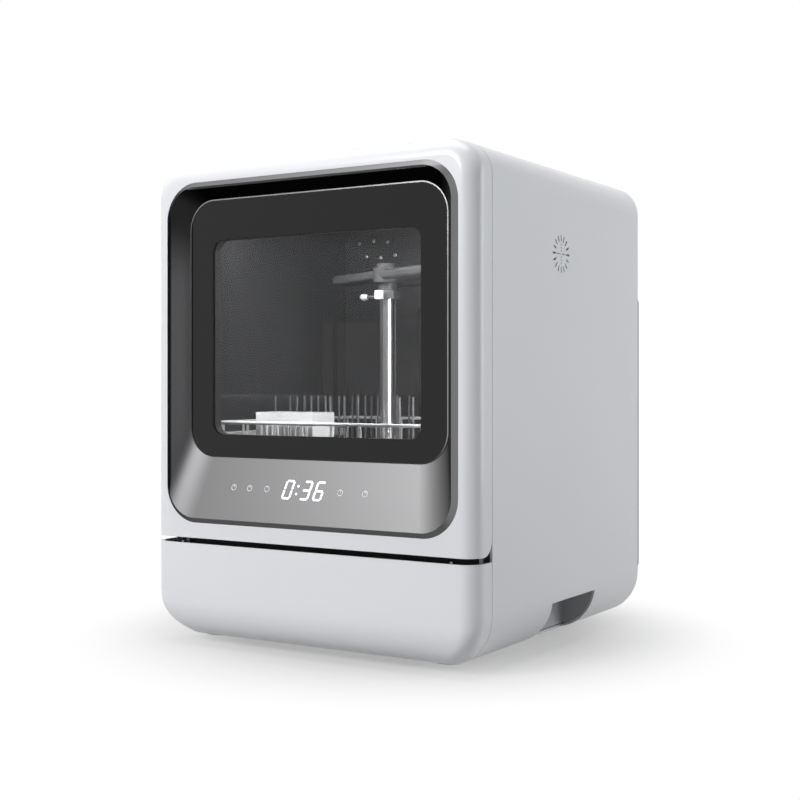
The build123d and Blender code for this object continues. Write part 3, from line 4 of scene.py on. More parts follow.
import bpy
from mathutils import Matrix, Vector


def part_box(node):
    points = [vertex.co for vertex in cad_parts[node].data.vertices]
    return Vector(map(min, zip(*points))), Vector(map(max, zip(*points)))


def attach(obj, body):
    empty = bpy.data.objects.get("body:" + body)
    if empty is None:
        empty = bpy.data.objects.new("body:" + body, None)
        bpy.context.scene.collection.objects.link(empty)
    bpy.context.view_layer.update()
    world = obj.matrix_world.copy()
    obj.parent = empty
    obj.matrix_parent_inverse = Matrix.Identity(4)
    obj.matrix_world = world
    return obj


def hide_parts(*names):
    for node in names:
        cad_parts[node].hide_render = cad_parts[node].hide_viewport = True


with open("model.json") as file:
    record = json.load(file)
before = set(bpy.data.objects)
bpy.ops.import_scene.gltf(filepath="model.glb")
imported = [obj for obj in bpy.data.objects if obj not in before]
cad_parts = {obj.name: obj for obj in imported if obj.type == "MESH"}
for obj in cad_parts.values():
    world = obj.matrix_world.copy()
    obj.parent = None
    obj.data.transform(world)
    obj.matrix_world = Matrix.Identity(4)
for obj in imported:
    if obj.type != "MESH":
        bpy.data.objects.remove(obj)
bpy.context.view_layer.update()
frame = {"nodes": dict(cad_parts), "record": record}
bpy.ops.object.select_all(action="DESELECT")
nodes = frame["nodes"]

# ---------------------------------------------------------------------------
# Studio: a pale floor, one big soft lamp over the front, one over the top and
# one at the right, small ones in the tub, and a white room that only the camera
# and gloss see.
# ---------------------------------------------------------------------------
scene = bpy.context.scene
scene.view_settings.view_transform = "Standard"

camera_place = (0.7406, -1.2089, 0.2625)
camera_turn = 31.78
camera_lens = 60.08
camera_shift = -0.02144
bpy.ops.object.camera_add(
    location=camera_place, rotation=(math.radians(90), 0, math.radians(camera_turn))
)
camera = bpy.context.object
camera.data.lens = camera_lens
camera.data.sensor_width = 36.0
camera.data.shift_y = camera_shift
camera.data.dof.use_dof = False
scene.camera = camera


def lamp(name, place, target, size, watts):
    """Soft rectangular lamp that points at a target."""
    bpy.ops.object.light_add(type="AREA", location=place)
    made = bpy.context.object
    made.name = name
    made.data.shape = "RECTANGLE"
    made.data.size, made.data.size_y = size
    made.data.energy = watts
    facing = Vector(target) - Vector(place)
    made.rotation_euler = facing.to_track_quat("-Z", "Y").to_euler()
    return made


lamp("front_softbox", (-0.6, -2.0, 1.25), (0.0, -0.15, 0.25), (0.8, 0.8), 35.5)
lamp("top_softbox", (0.0, -0.2, 1.7), (0.0, 0.0, 0.3), (1.2, 0.8), 12.5)
side_lamp = lamp("side_softbox", (1.55, 1.3, 0.6), (0.1, 0.0, 0.25), (0.8, 1.2), 11.2)
side_lamp.data.color = (0.95, 0.98, 1.0)
lamp("edge_strip", (1.75, 0.75, 0.3), (0.18, -0.17, 0.28), (0.07, 1.1), 4.6)
lamp("tub_roof_lamp", (-0.02, -0.135, 0.43), (0.0, 0.0, 0.2), (0.24, 0.04), 1.0)
lamp("tub_side_lamp", (0.138, -0.132, 0.3), (0.0, -0.04, 0.28), (0.05, 0.22), 0.9)
basket_lamp = lamp(
    "tub_basket_lamp", (-0.06, -0.1545, 0.252), (-0.06, -0.137, 0.215), (0.14, 0.01), 0.05
)
basket_lamp.data.spread = math.radians(110)


def seen_white(tree, lit, reach):
    """Mix a lit shader with plain white where the camera, gloss or glass sees it."""
    ray = tree.nodes.new("ShaderNodeLightPath")
    seen = ray.outputs["Is Camera Ray"]
    for kind in ("Is Glossy Ray", "Is Transmission Ray"):
        either = tree.nodes.new("ShaderNodeMath")
        either.operation = "MAXIMUM"
        tree.links.new(seen, either.inputs[0])
        tree.links.new(ray.outputs[kind], either.inputs[1])
        seen = either.outputs["Value"]
    if reach is not None:
        share = tree.nodes.new("ShaderNodeMath")
        share.operation = "MULTIPLY"
        tree.links.new(seen, share.inputs[0])
        tree.links.new(reach, share.inputs[1])
        seen = share.outputs["Value"]
    white = tree.nodes.new("ShaderNodeBackground" if reach is None else "ShaderNodeEmission")
    white.inputs["Color"].default_value = (1.0, 1.0, 1.0, 1.0)
    white.inputs["Strength"].default_value = 1.0
    chooser = tree.nodes.new("ShaderNodeMixShader")
    tree.links.new(seen, chooser.inputs[0])
    tree.links.new(lit, chooser.inputs[1])
    tree.links.new(white.outputs[0], chooser.inputs[2])
    return chooser.outputs["Shader"]


room = bpy.data.worlds.new("room")
scene.world = room
room.use_nodes = True
room_tree = room.node_tree
room_light = room_tree.nodes["Background"]
room_light.inputs["Color"].default_value = (0.92, 0.95, 1.0, 1.0)
room_light.inputs["Strength"].default_value = 0.1
room_tree.links.new(
    seen_white(room_tree, room_light.outputs["Background"], None),
    room_tree.nodes["World Output"].inputs["Surface"],
)

floor_size = 12.0
floor_grey = 0.48
shadow_start = 0.15
shadow_end = 0.36
shadow_lift = 0.4
bpy.ops.mesh.primitive_plane_add(size=floor_size, location=(0.0, 0.0, 0.0))
floor = bpy.context.object
floor.name = "studio_floor"
floor_paint = bpy.data.materials.new("floor_paint")
floor_paint.use_nodes = True
floor_tree = floor_paint.node_tree
floor_shader = floor_tree.nodes["Principled BSDF"]
floor_shader.inputs["Base Color"].default_value = (floor_grey, floor_grey, floor_grey, 1.0)
floor_shader.inputs["Roughness"].default_value = 0.9
floor_place = floor_tree.nodes.new("ShaderNodeTexCoord")
floor_distance = floor_tree.nodes.new("ShaderNodeVectorMath")
floor_distance.operation = "LENGTH"
floor_fade = floor_tree.nodes.new("ShaderNodeMapRange")
floor_fade.interpolation_type = "SMOOTHSTEP"
floor_fade.inputs["From Min"].default_value = shadow_start
floor_fade.inputs["From Max"].default_value = shadow_end
floor_fade.inputs["To Min"].default_value = shadow_lift
floor_tree.links.new(floor_place.outputs["Object"], floor_distance.inputs[0])
floor_tree.links.new(floor_distance.outputs["Value"], floor_fade.inputs["Value"])
floor_tree.links.new(
    seen_white(floor_tree, floor_shader.outputs["BSDF"], floor_fade.outputs["Result"]),
    floor_tree.nodes["Material Output"].inputs["Surface"],
)
floor.data.materials.append(floor_paint)


# ---------------------------------------------------------------------------
# White shell: the wrap-round casing, the door's body and the fixed panel
# under it are one satin white ABS with a faint cool tint and moulding grain.
# ---------------------------------------------------------------------------
class Link:
    """A socket of a material's nodes. Arithmetic on it adds Math nodes."""

    def __init__(self, socket):
        self.socket = socket

    def node(self, kind, settings=(), sockets=(), output=0):
        """Adds a node: its settings first, then a value or a Link for each socket."""
        tree = self.socket.id_data
        made = tree.nodes.new(kind)
        for name, value in dict(settings).items():
            setattr(made, name, value)
        for name, value in dict(sockets).items():
            if isinstance(value, Link):
                tree.links.new(value.socket, made.inputs[name])
            else:
                made.inputs[name].default_value = value
        return Link(made.outputs[output])

    def math(self, operation, first, second=0.0):
        return self.node("ShaderNodeMath", {"operation": operation}, {0: first, 1: second})

    def __add__(self, other):
        return self.math("ADD", self, other)

    __radd__ = __add__

    def __mul__(self, other):
        return self.math("MULTIPLY", self, other)

    __rmul__ = __mul__

    def __sub__(self, other):
        return self.math("SUBTRACT", self, other)

    def __rsub__(self, other):
        return self.math("SUBTRACT", other, self)

    def __pow__(self, other):
        return self.math("POWER", self, other)

    def __abs__(self):
        return self.math("ABSOLUTE", self)

    def above(self, start, end):
        """0 at start, 1 at end, smooth between."""
        return self.node(
            "ShaderNodeMapRange",
            {"interpolation_type": "SMOOTHSTEP"},
            {"Value": self, "From Min": start, "From Max": end},
        )

    def past(self, place, blur=0.0005):
        """0 before a place, 1 past it, with a short blur across it."""
        return self.above(place - blur, place + blur)

    def axes(self):
        """The three parts of a vector."""
        apart = self.node("ShaderNodeSeparateXYZ", {}, {"Vector": self}).socket.node
        return [Link(apart.outputs[axis]) for axis in "XYZ"]

    def noise(self, scale, detail=2.0):
        return self.node(
            "ShaderNodeTexNoise", {}, {"Vector": self, "Scale": scale, "Detail": detail}
        )

    def stretched(self, scale):
        """This place with its three axes scaled."""
        return self.node("ShaderNodeMapping", {}, {"Vector": self, "Scale": scale})


class Finish:
    """A material on the Principled shader: fixed values first, then what varies."""

    def __init__(self, name, colour, roughness, **fixed):
        self.material = bpy.data.materials.new(name)
        self.material.use_nodes = True
        tree = self.material.node_tree
        self.shader = tree.nodes["Principled BSDF"]
        self.shader.inputs["Base Color"].default_value = (*colour, 1.0)
        self.shader.inputs["Roughness"].default_value = roughness
        for socket, value in fixed.items():
            self.shader.inputs[socket.replace("_", " ")].default_value = value
        coordinates = tree.nodes.new("ShaderNodeTexCoord")
        self.place = Link(coordinates.outputs["Object"])
        self.normal = Link(coordinates.outputs["Normal"])

    def vary(self, socket, link):
        """Feed a socket of the shader from nodes."""
        self.material.node_tree.links.new(link.socket, self.shader.inputs[socket])

    def mottle(self, dark, light, factor):
        """Base colour between two colours."""
        self.vary("Base Color", self.mix(dark, light, factor))

    def mix(self, first, second, factor):
        def full(colour):
            return colour if isinstance(colour, Link) else (*colour, 1.0)

        return self.place.node(
            "ShaderNodeMix",
            {"data_type": "RGBA"},
            {"Factor": factor, 6: full(first), 7: full(second)},
            output=2,
        )

    def bump(self, height, strength, distance):
        self.vary(
            "Normal",
            self.place.node(
                "ShaderNodeBump",
                {},
                {"Height": height, "Strength": strength, "Distance": distance},
            ),
        )

    def put_on(self, *names):
        """Dress CAD nodes in this finish."""
        for name in names:
            for material_slot in nodes[name].material_slots:
                material_slot.material = self.material


shell_white = Finish(
    "shell_white",
    (0.76, 0.77, 0.795),
    0.3,
    Specular_IOR_Level=0.35,
    Coat_Weight=0.15,
    Coat_Roughness=0.1,
)
shell_cloud = shell_white.place.noise(9.0, 3.0)
shell_grain = shell_white.place.noise(1400.0, 2.0)
shell_white.mottle((0.75, 0.76, 0.785), (0.775, 0.785, 0.81), shell_cloud)
shell_white.vary("Roughness", 0.27 + 0.07 * shell_cloud + 0.03 * shell_grain)
shell_white.bump(shell_grain, 0.05, 0.0001)
shell_white.put_on("wrap_casing", "lower_front_panel", "door_frame")

# ---------------------------------------------------------------------------
# Base: a ribbed polypropylene pan screwed under the casing, four moulded
# rubber feet and the hand recesses, which are grained mid-grey cups.
# ---------------------------------------------------------------------------
pan_white = Finish("pan_white", (0.66, 0.67, 0.68), 0.5)
pan_grain = pan_white.place.noise(700.0, 3.0)
pan_white.mottle((0.63, 0.64, 0.65), (0.69, 0.7, 0.71), pan_white.place.noise(25.0))
pan_white.bump(pan_grain, 0.12, 0.0002)
pan_white.put_on("base_pan")

foot_rubber = Finish("foot_rubber", (0.03, 0.03, 0.032), 0.75, Specular_IOR_Level=0.3)
foot_dust = foot_rubber.place.noise(160.0, 4.0)
foot_rubber.mottle((0.022, 0.022, 0.024), (0.055, 0.053, 0.05), foot_dust)
foot_rubber.bump(foot_dust, 0.2, 0.0003)
foot_rubber.put_on("rubber_feet")

cup_grey = Finish("cup_grey", (0.45, 0.455, 0.465), 0.5)
cup_grain = cup_grey.place.noise(900.0, 3.0)
cup_grey.mottle((0.42, 0.425, 0.435), (0.5, 0.505, 0.515), cup_grain)
cup_grey.bump(cup_grain, 0.15, 0.0002)
cup_grey.put_on("handle_cups")

# ---------------------------------------------------------------------------
# Tub: a deep-drawn satin liner with a pressed air duct at its back, a rubber
# door seal round its mouth and a dark sill under the door. The latch, the
# switch, the fan and the control box are of the sill's dark plastic.
# ---------------------------------------------------------------------------
liner_grey = Finish("liner_grey", (0.055, 0.056, 0.058), 0.3, Metallic=0.55)
liner_brush = liner_grey.place.stretched((1.0, 1.0, 60.0)).noise(28.0, 3.0)
_, liner_y, liner_z = liner_grey.place.axes()
field_foot = 0.248
field_head = 0.335
field_back = 0.1005
field_side = (0.07, 0.09)
field_band = liner_z.past(field_foot) * (1.0 - liner_z.past(field_head))
field_behind = liner_y.past(field_back)
field_beside = liner_y.past(field_side[0]) * (1.0 - liner_y.past(field_side[1]))
liner_tone = liner_grey.mix((0.06, 0.0605, 0.062), (0.085, 0.0855, 0.088), liner_brush)
liner_grey.mottle(liner_tone, (0.112, 0.113, 0.115), field_band * (field_behind + field_beside))
liner_grey.vary("Roughness", 0.24 + 0.16 * liner_brush)
liner_grey.put_on("tub_liner", "tub_back_duct", "inner_door_panel")

seal_rubber = Finish("seal_rubber", (0.035, 0.035, 0.037), 0.6, Specular_IOR_Level=0.35)
seal_skin = seal_rubber.place.noise(350.0, 3.0)
seal_rubber.mottle((0.028, 0.028, 0.03), (0.045, 0.045, 0.047), seal_skin)
seal_rubber.bump(seal_skin, 0.1, 0.0002)
seal_rubber.put_on("door_seal", "window_frame", "hoses")

sill_dark = Finish("sill_dark", (0.035, 0.035, 0.037), 0.55)
sill_grain = sill_dark.place.noise(800.0, 3.0)
sill_dark.mottle((0.025, 0.025, 0.027), (0.045, 0.045, 0.048), sill_grain)
sill_dark.bump(sill_grain, 0.15, 0.0002)
sill_dark.put_on(
    "front_sill", "latch_housing", "door_switch", "fan_housing", "control_box", "fan_rotor"
)

# ---------------------------------------------------------------------------
# Water system: moulded grey sump, volutes, wheels and spray arms, a pressed
# steel filter plate, the chromed riser and a milky feed pipe. The hinges, the
# motors, the heater and the rear screws share the filter plate's steel.
# ---------------------------------------------------------------------------
sump_grey = Finish("sump_grey", (0.3, 0.31, 0.32), 0.42)
sump_grain = sump_grey.place.noise(600.0, 3.0)
sump_grey.mottle((0.27, 0.28, 0.29), (0.33, 0.34, 0.35), sump_grey.place.noise(30.0, 3.0))
sump_grey.bump(sump_grain, 0.1, 0.0002)
sump_grey.put_on(
    "sump_bowl", "lower_arm_hub", "pump_volutes", "filter_cup", "wash_impeller", "drain_impeller"
)

arm_grey = Finish("arm_grey", (0.08, 0.081, 0.083), 0.4)
arm_grain = arm_grey.place.noise(900.0, 3.0)
arm_grey.mottle((0.07, 0.071, 0.073), (0.095, 0.096, 0.098), arm_grey.place.noise(45.0, 3.0))
arm_grey.bump(arm_grain, 0.08, 0.0002)
arm_grey.put_on("upper_spray_arm", "lower_spray_arm", "upper_arm_hub")

pressed_steel = Finish("pressed_steel", (0.6, 0.6, 0.61), 0.32, Metallic=1.0)
steel_lines = pressed_steel.place.stretched((1.0, 40.0, 40.0)).noise(60.0, 4.0)
pressed_steel.mottle((0.52, 0.52, 0.53), (0.66, 0.66, 0.67), steel_lines)
pressed_steel.vary("Roughness", 0.26 + 0.16 * steel_lines)
pressed_steel.bump(steel_lines, 0.04, 0.0002)
pressed_steel.put_on(
    "filter_plate", "hinge_brackets", "hinge_pins", "hinge_springs", "hinge_arms",
    "rear_screws", "pump_motors", "water_heater",
)

riser_chrome = Finish("riser_chrome", (0.88, 0.88, 0.89), 0.08, Metallic=1.0)
riser_drops = riser_chrome.place.noise(220.0, 3.0)
riser_chrome.vary("Roughness", 0.2 + 0.1 * riser_drops)
riser_chrome.put_on("riser_tube")

pipe_milk = Finish("pipe_milk", (0.6, 0.6, 0.57), 0.4)
pipe_cloud = pipe_milk.place.noise(40.0, 3.0)
pipe_milk.mottle((0.56, 0.56, 0.53), (0.64, 0.64, 0.61), pipe_cloud)
pipe_milk.bump(pipe_cloud, 0.05, 0.0005)
pipe_milk.put_on("spray_feed_pipe")

# ---------------------------------------------------------------------------
# Small white mouldings, in satin polypropylene: the rack's rails and runners,
# the basket, the riser's collar, the lower arm's cap, the latch's striker, the
# switch's plunger and the inlet valve.
# ---------------------------------------------------------------------------
moulding_white = Finish("moulding_white", (0.76, 0.77, 0.78), 0.38)
moulding_cloud = moulding_white.place.noise(60.0, 3.0)
moulding_white.mottle((0.73, 0.74, 0.75), (0.79, 0.8, 0.81), moulding_cloud)
moulding_white.vary("Roughness", 0.33 + 0.1 * moulding_cloud)
moulding_white.bump(moulding_white.place.noise(900.0, 2.0), 0.06, 0.0002)
moulding_white.put_on(
    "rack_rails", "rack_runners", "riser_collar", "cutlery_basket", "latch_striker",
    "switch_plunger", "inlet_valve", "lower_arm_cap",
)

# ---------------------------------------------------------------------------
# Buffers: four small nylon buttons pressed into the gap under the door, two
# in the door's lower edge and two facing them in the fixed panel.
# ---------------------------------------------------------------------------
def pick(piece, kind, wanted):
    """Select in edit mode the faces, edges or points whose middle passes the test."""
    bpy.ops.object.mode_set(mode="EDIT")
    bpy.ops.mesh.select_mode(type=kind)
    bpy.ops.mesh.select_all(action="DESELECT")
    bpy.ops.object.mode_set(mode="OBJECT")
    points = piece.data.vertices
    for element in {"FACE": piece.data.polygons, "EDGE": piece.data.edges, "VERT": points}[kind]:
        corners = [element] if kind == "VERT" else [points[index] for index in element.vertices]
        middle = sum((corner.co for corner in corners), Vector()) / len(corners)
        element.select = wanted(middle)
    bpy.ops.object.mode_set(mode="EDIT")


def settle(name, body, finish, angle=35):
    """Put the active object's place into its mesh, dress it and let it ride on a body."""
    bpy.ops.object.mode_set(mode="OBJECT")
    piece = bpy.context.object
    bpy.ops.object.transform_apply(location=True, rotation=True, scale=True)
    piece.name = piece.data.name = name
    piece.data.materials.clear()
    piece.data.materials.append(finish.material)
    bpy.ops.object.shade_smooth_by_angle(angle=math.radians(angle))
    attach(piece, body)
    bpy.ops.object.select_all(action="DESELECT")
    return piece


sides = ((-1, "left"), (1, "right"))
buffer_radius = 0.0012
buffer_height = 0.0014
buffer_rim = buffer_radius * 0.3
buffer_dome = buffer_radius * 0.2
buffer_side = 0.1555
buffer_front = -0.178
panel_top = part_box("lower_front_panel")[1][2]
door_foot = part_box("door_frame")[0][2]
for buffer_body, buffer_z in (("cabinet", panel_top), ("door", door_foot)):
    for side, side_name in sides:
        bpy.ops.mesh.primitive_cylinder_add(
            vertices=20,
            radius=buffer_radius,
            depth=buffer_height,
            location=(side * buffer_side, buffer_front, buffer_z),
        )
        button = bpy.context.object
        pick(button, "FACE", lambda middle: abs(middle.z) > buffer_height / 3)
        bpy.ops.mesh.inset(thickness=buffer_rim, depth=buffer_dome)
        settle(f"{buffer_body}_buffer_{side_name}", buffer_body, moulding_white)

# ---------------------------------------------------------------------------
# Door springs: one torsion spring of hard steel wire on each hinge pin, with
# a straight leg that bears on the arm and one that bears on the bracket.
# ---------------------------------------------------------------------------
spring_low, spring_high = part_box("hinge_springs")
spring_wire = 0.0008
spring_sides = 10
spring_turns = 4
spring_steps = 28
spring_outer = (spring_high[2] - spring_low[2]) / 2
spring_centre_y = (spring_high[1] + spring_low[1]) / 2
spring_centre_z = (spring_high[2] + spring_low[2]) / 2
spring_run = 0.0087
spring_travel = spring_run - 2 * spring_wire
spring_leg = 0.007
for side, side_name in sides:
    coil_start = side * (spring_high[0] - spring_wire)
    bpy.ops.mesh.primitive_circle_add(
        vertices=spring_sides,
        radius=spring_wire,
        location=(coil_start, spring_centre_y, spring_centre_z),
    )
    coil = bpy.context.object
    bpy.ops.object.mode_set(mode="EDIT")
    bpy.ops.transform.translate(value=(0, spring_outer - spring_wire, 0))
    bpy.ops.object.mode_set(mode="OBJECT")
    turns = coil.modifiers.new("turns", "SCREW")
    turns.axis = "X"
    turns.steps = turns.render_steps = spring_steps
    turns.iterations = spring_turns
    turns.screw_offset = -side * spring_travel / spring_turns
    bpy.ops.object.modifier_apply(modifier="turns")
    bpy.ops.object.mode_set(mode="EDIT")
    bpy.ops.mesh.select_all(action="SELECT")
    bpy.ops.mesh.fill_holes(sides=0)
    bpy.ops.mesh.normals_make_consistent(inside=False)
    for end_x, rise in ((0.0, spring_leg), (-side * spring_travel, -spring_leg)):
        pick(
            coil,
            "FACE",
            lambda middle: abs(middle.x - end_x) < spring_wire / 4
            and abs(middle.y - spring_outer + spring_wire) < spring_wire / 4
            and abs(middle.z) < spring_wire / 9,
        )
        bpy.ops.mesh.extrude_region_move(TRANSFORM_OT_translate={"value": (0, 0, rise)})
    spring = settle(f"door_spring_{side_name}", "cabinet", pressed_steel, 50)
    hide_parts("hinge_springs")

# ---------------------------------------------------------------------------
# Rack: welded steel wire with a slightly uneven dipped coat, white on the
# floor and the rim and grey on the upright tines.
# ---------------------------------------------------------------------------
wire_coat = Finish("wire_coat", (0.82, 0.83, 0.84), 0.22, Coat_Weight=0.5, Coat_Roughness=0.08)
wire_dip = wire_coat.place.noise(180.0, 3.0)
wire_coat.mottle((0.78, 0.79, 0.8), (0.86, 0.87, 0.88), wire_dip)
wire_coat.bump(wire_dip, 0.15, 0.0004)
wire_coat.put_on("rack_floor", "rack_rim")

tine_coat = Finish("tine_coat", (0.14, 0.14, 0.145), 0.3, Coat_Weight=0.3, Coat_Roughness=0.1)
tine_dip = tine_coat.place.noise(180.0, 3.0)
tine_coat.mottle((0.12, 0.12, 0.125), (0.17, 0.17, 0.175), tine_dip)
tine_coat.bump(tine_dip, 0.15, 0.0004)
tine_coat.put_on("rack_tines")

# ---------------------------------------------------------------------------
# Screws: cross-recessed pan heads of stainless steel. Eight hold the door's
# inner panel, and six small ones hold the air duct's bracket in the tub.
# ---------------------------------------------------------------------------
def screw_heads(name, body, radius, places, turn):
    """One cross-recessed head, modelled once and copied to each place."""
    depth = radius * 0.5
    rim = radius * 0.22
    dome = radius * 0.14
    recess_reach = radius * 0.62
    recess_depth = radius * 0.3
    hub = radius * 0.1
    pinch = 0.35
    taper = 0.8
    bpy.ops.mesh.primitive_cylinder_add(
        vertices=12, radius=radius, depth=depth, rotation=(0, 0, math.radians(15))
    )
    head = bpy.context.object
    bpy.ops.object.transform_apply(location=True, rotation=True, scale=True)
    pick(head, "FACE", lambda middle: middle.z > depth / 3)
    bpy.ops.mesh.inset(thickness=rim, depth=dome)
    bpy.ops.mesh.inset(thickness=rim)
    top = depth / 2 + radius * 0.13
    pick(
        head,
        "VERT",
        lambda middle: middle.z > top
        and middle.to_2d().length < recess_reach
        and abs(abs(middle.x) - abs(middle.y)) < hub / 2,
    )
    bpy.ops.transform.resize(value=(pinch, pinch, 1.0), center_override=(0.0, 0.0, top))
    pick(head, "FACE", lambda middle: middle.z > top and middle.to_2d().length < hub)
    bpy.ops.mesh.extrude_region_move(TRANSFORM_OT_translate={"value": (0, 0, -recess_depth)})
    bpy.ops.transform.resize(value=(taper, taper, 1.0), center_override=(0.0, 0.0, top))
    bpy.ops.object.mode_set(mode="OBJECT")
    copies = []
    for place in places:
        bpy.ops.object.select_all(action="DESELECT")
        head.select_set(True)
        bpy.context.view_layer.objects.active = head
        bpy.ops.object.duplicate(linked=False)
        copies.append(bpy.context.object)
        copies[-1].location = place
        copies[-1].rotation_euler = turn
    bpy.data.objects.remove(head)
    for copy in copies:
        copy.select_set(True)
    bpy.context.view_layer.objects.active = copies[-1]
    bpy.ops.object.join()
    return settle(name, body, pressed_steel)


panel_low, panel_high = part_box("inner_door_panel")
panel_screw_radius = 0.0032
panel_screw_margin = 0.011
panel_screw_y = panel_high[1] + panel_screw_radius * 0.25
panel_rows = (
    panel_low[2] + 2 * panel_screw_margin,
    (panel_low[2] + panel_high[2]) / 2,
    panel_high[2] - panel_screw_margin,
)
panel_screws = [
    (side * (panel_high[0] - panel_screw_margin), panel_screw_y, row)
    for side, _ in sides
    for row in panel_rows
]
panel_screws += [(side * panel_high[0] / 3, panel_screw_y, panel_rows[0]) for side, _ in sides]
towards_back = (math.radians(-90), 0, 0)
screw_heads("door_panel_screws", "door", panel_screw_radius, panel_screws, towards_back)

duct_screw_radius = 0.0022
duct_screw_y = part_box("tub_back_duct")[1][1] - duct_screw_radius * 0.25
duct_screws = [
    (-0.138, duct_screw_y, 0.428),
    (-0.128, duct_screw_y, 0.412),
    (-0.118, duct_screw_y, 0.43),
    (-0.108, duct_screw_y, 0.41),
    (-0.098, duct_screw_y, 0.428),
    (-0.088, duct_screw_y, 0.412),
]
towards_front = (math.radians(90), 0, 0)
screw_heads("tub_wall_screws", "cabinet", duct_screw_radius, duct_screws, towards_front)

# ---------------------------------------------------------------------------
# Riser lock: a hexagonal nut under the upper arm's hub clamps it to the
# riser. A square pad on its front and an oval button on a short lever are dressed white as
# painted highlights, for the nut's glints.
# ---------------------------------------------------------------------------
riser_low, riser_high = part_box("riser_tube")
riser_y = (riser_low[1] + riser_high[1]) / 2
nut_radius = 0.0132
nut_height = 0.0088
nut_drop = 0.0003
nut_rounding = 0.0006
nut_middle = riser_high[2] - nut_height / 2 - nut_drop
bpy.ops.mesh.primitive_cylinder_add(
    vertices=6, radius=nut_radius, depth=nut_height, location=(0.0, riser_y, nut_middle)
)
nut = bpy.context.object
pick(nut, "FACE", lambda middle: abs(middle.z) > nut_height / 3)
bpy.ops.mesh.inset(thickness=nut_radius * 0.2)
bpy.ops.mesh.bridge_edge_loops()
pick(nut, "EDGE", lambda middle: middle.to_2d().length > nut_radius * 0.8)
bpy.ops.mesh.bevel(offset=nut_rounding, segments=2, affect="EDGES")
settle("riser_nut", "rack", arm_grey)

# Painted highlight: a white pad on the nut's front, where the nut shows a glint.
pad_half = 0.004
bpy.ops.mesh.primitive_cube_add(
    size=2 * pad_half, location=(0.0, riser_y - nut_radius * 0.9 - pad_half / 2, nut_middle)
)
pad = bpy.context.object
pick(pad, "FACE", lambda middle: middle.y > pad_half / 2)
bpy.ops.transform.translate(value=(0, -pad_half, 0))
pick(pad, "FACE", lambda middle: middle.y < -pad_half / 2)
bpy.ops.mesh.inset(thickness=pad_half * 0.18, depth=pad_half * 0.12)
settle("riser_nut_highlight_pad", "rack", moulding_white)

# Painted highlight: a white oval button on a lever, where the nut shows a second glint.
button_reach = 0.029
button_radius = 0.0048
button_flatness = 0.72
lever_z = nut_middle - 0.001
bpy.ops.mesh.primitive_uv_sphere_add(
    segments=24, ring_count=14, radius=button_radius, location=(-button_reach, riser_y, lever_z)
)
bpy.ops.object.mode_set(mode="EDIT")
bpy.ops.mesh.select_all(action="SELECT")
bpy.ops.transform.resize(value=(1.0, 1.0, button_flatness))
settle("riser_nut_highlight_button", "rack", moulding_white)

lever_length = button_reach - nut_radius * 0.85
lever_radius = 0.0019
lever_foot = 1.6
bpy.ops.mesh.primitive_cylinder_add(
    vertices=20,
    radius=lever_radius,
    depth=lever_length,
    rotation=(0, math.radians(90), 0),
    location=(-button_reach + lever_length / 2, riser_y, lever_z),
)
lever = bpy.context.object
pick(lever, "FACE", lambda middle: middle.z > lever_length / 3)
bpy.ops.transform.resize(value=(lever_foot, lever_foot, 1.0))
settle("riser_nut_lever", "rack", arm_grey)

# ---------------------------------------------------------------------------
# Back: an inner panel, a grained cover and the hose fittings, all black, and a
# thin strip down each side of the cover, over its joint with the casing.
# ---------------------------------------------------------------------------
cover_black = Finish("cover_black", (0.05, 0.05, 0.053), 0.5)
cover_grain = cover_black.place.noise(650.0, 4.0)
cover_black.mottle((0.038, 0.038, 0.041), (0.064, 0.064, 0.067), cover_grain)
cover_black.vary("Roughness", 0.42 + 0.18 * cover_grain)
cover_black.bump(cover_grain, 0.25, 0.0002)
cover_black.put_on("rear_cover", "back_panel", "rear_fittings")

cover_low, cover_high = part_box("rear_cover")
cover_corner = 0.014
strip_length = cover_high[2] - cover_low[2] - 2 * cover_corner
strip_reach = 0.0006
strip_depth = 0.0026
strip_bevel = 0.0003
for side, side_name in sides:
    bpy.ops.mesh.primitive_cube_add(
        size=1.0,
        location=(
            side * (cover_high[0] + strip_reach / 2),
            (cover_low[1] + cover_high[1]) / 2,
            (cover_low[2] + cover_high[2]) / 2,
        ),
        scale=(strip_reach, strip_depth, strip_length),
    )
    strip = bpy.context.object
    bpy.ops.object.transform_apply(location=False, rotation=False, scale=True)
    pick(
        strip,
        "EDGE",
        lambda middle: side * middle.x > strip_reach / 3 and abs(middle.z) < strip_reach,
    )
    bpy.ops.mesh.bevel(offset=strip_bevel, segments=2, affect="EDGES")
    settle(f"cover_strip_{side_name}", "cabinet", cover_black)

# ---------------------------------------------------------------------------
# Hose connections: the inlet's moulded pipe thread, 14 turns to the inch,
# and the three barbs that hold the drain hose on its spigot.
# ---------------------------------------------------------------------------
connections = {mount["name"]: mount for mount in frame["record"]["mounts"]}


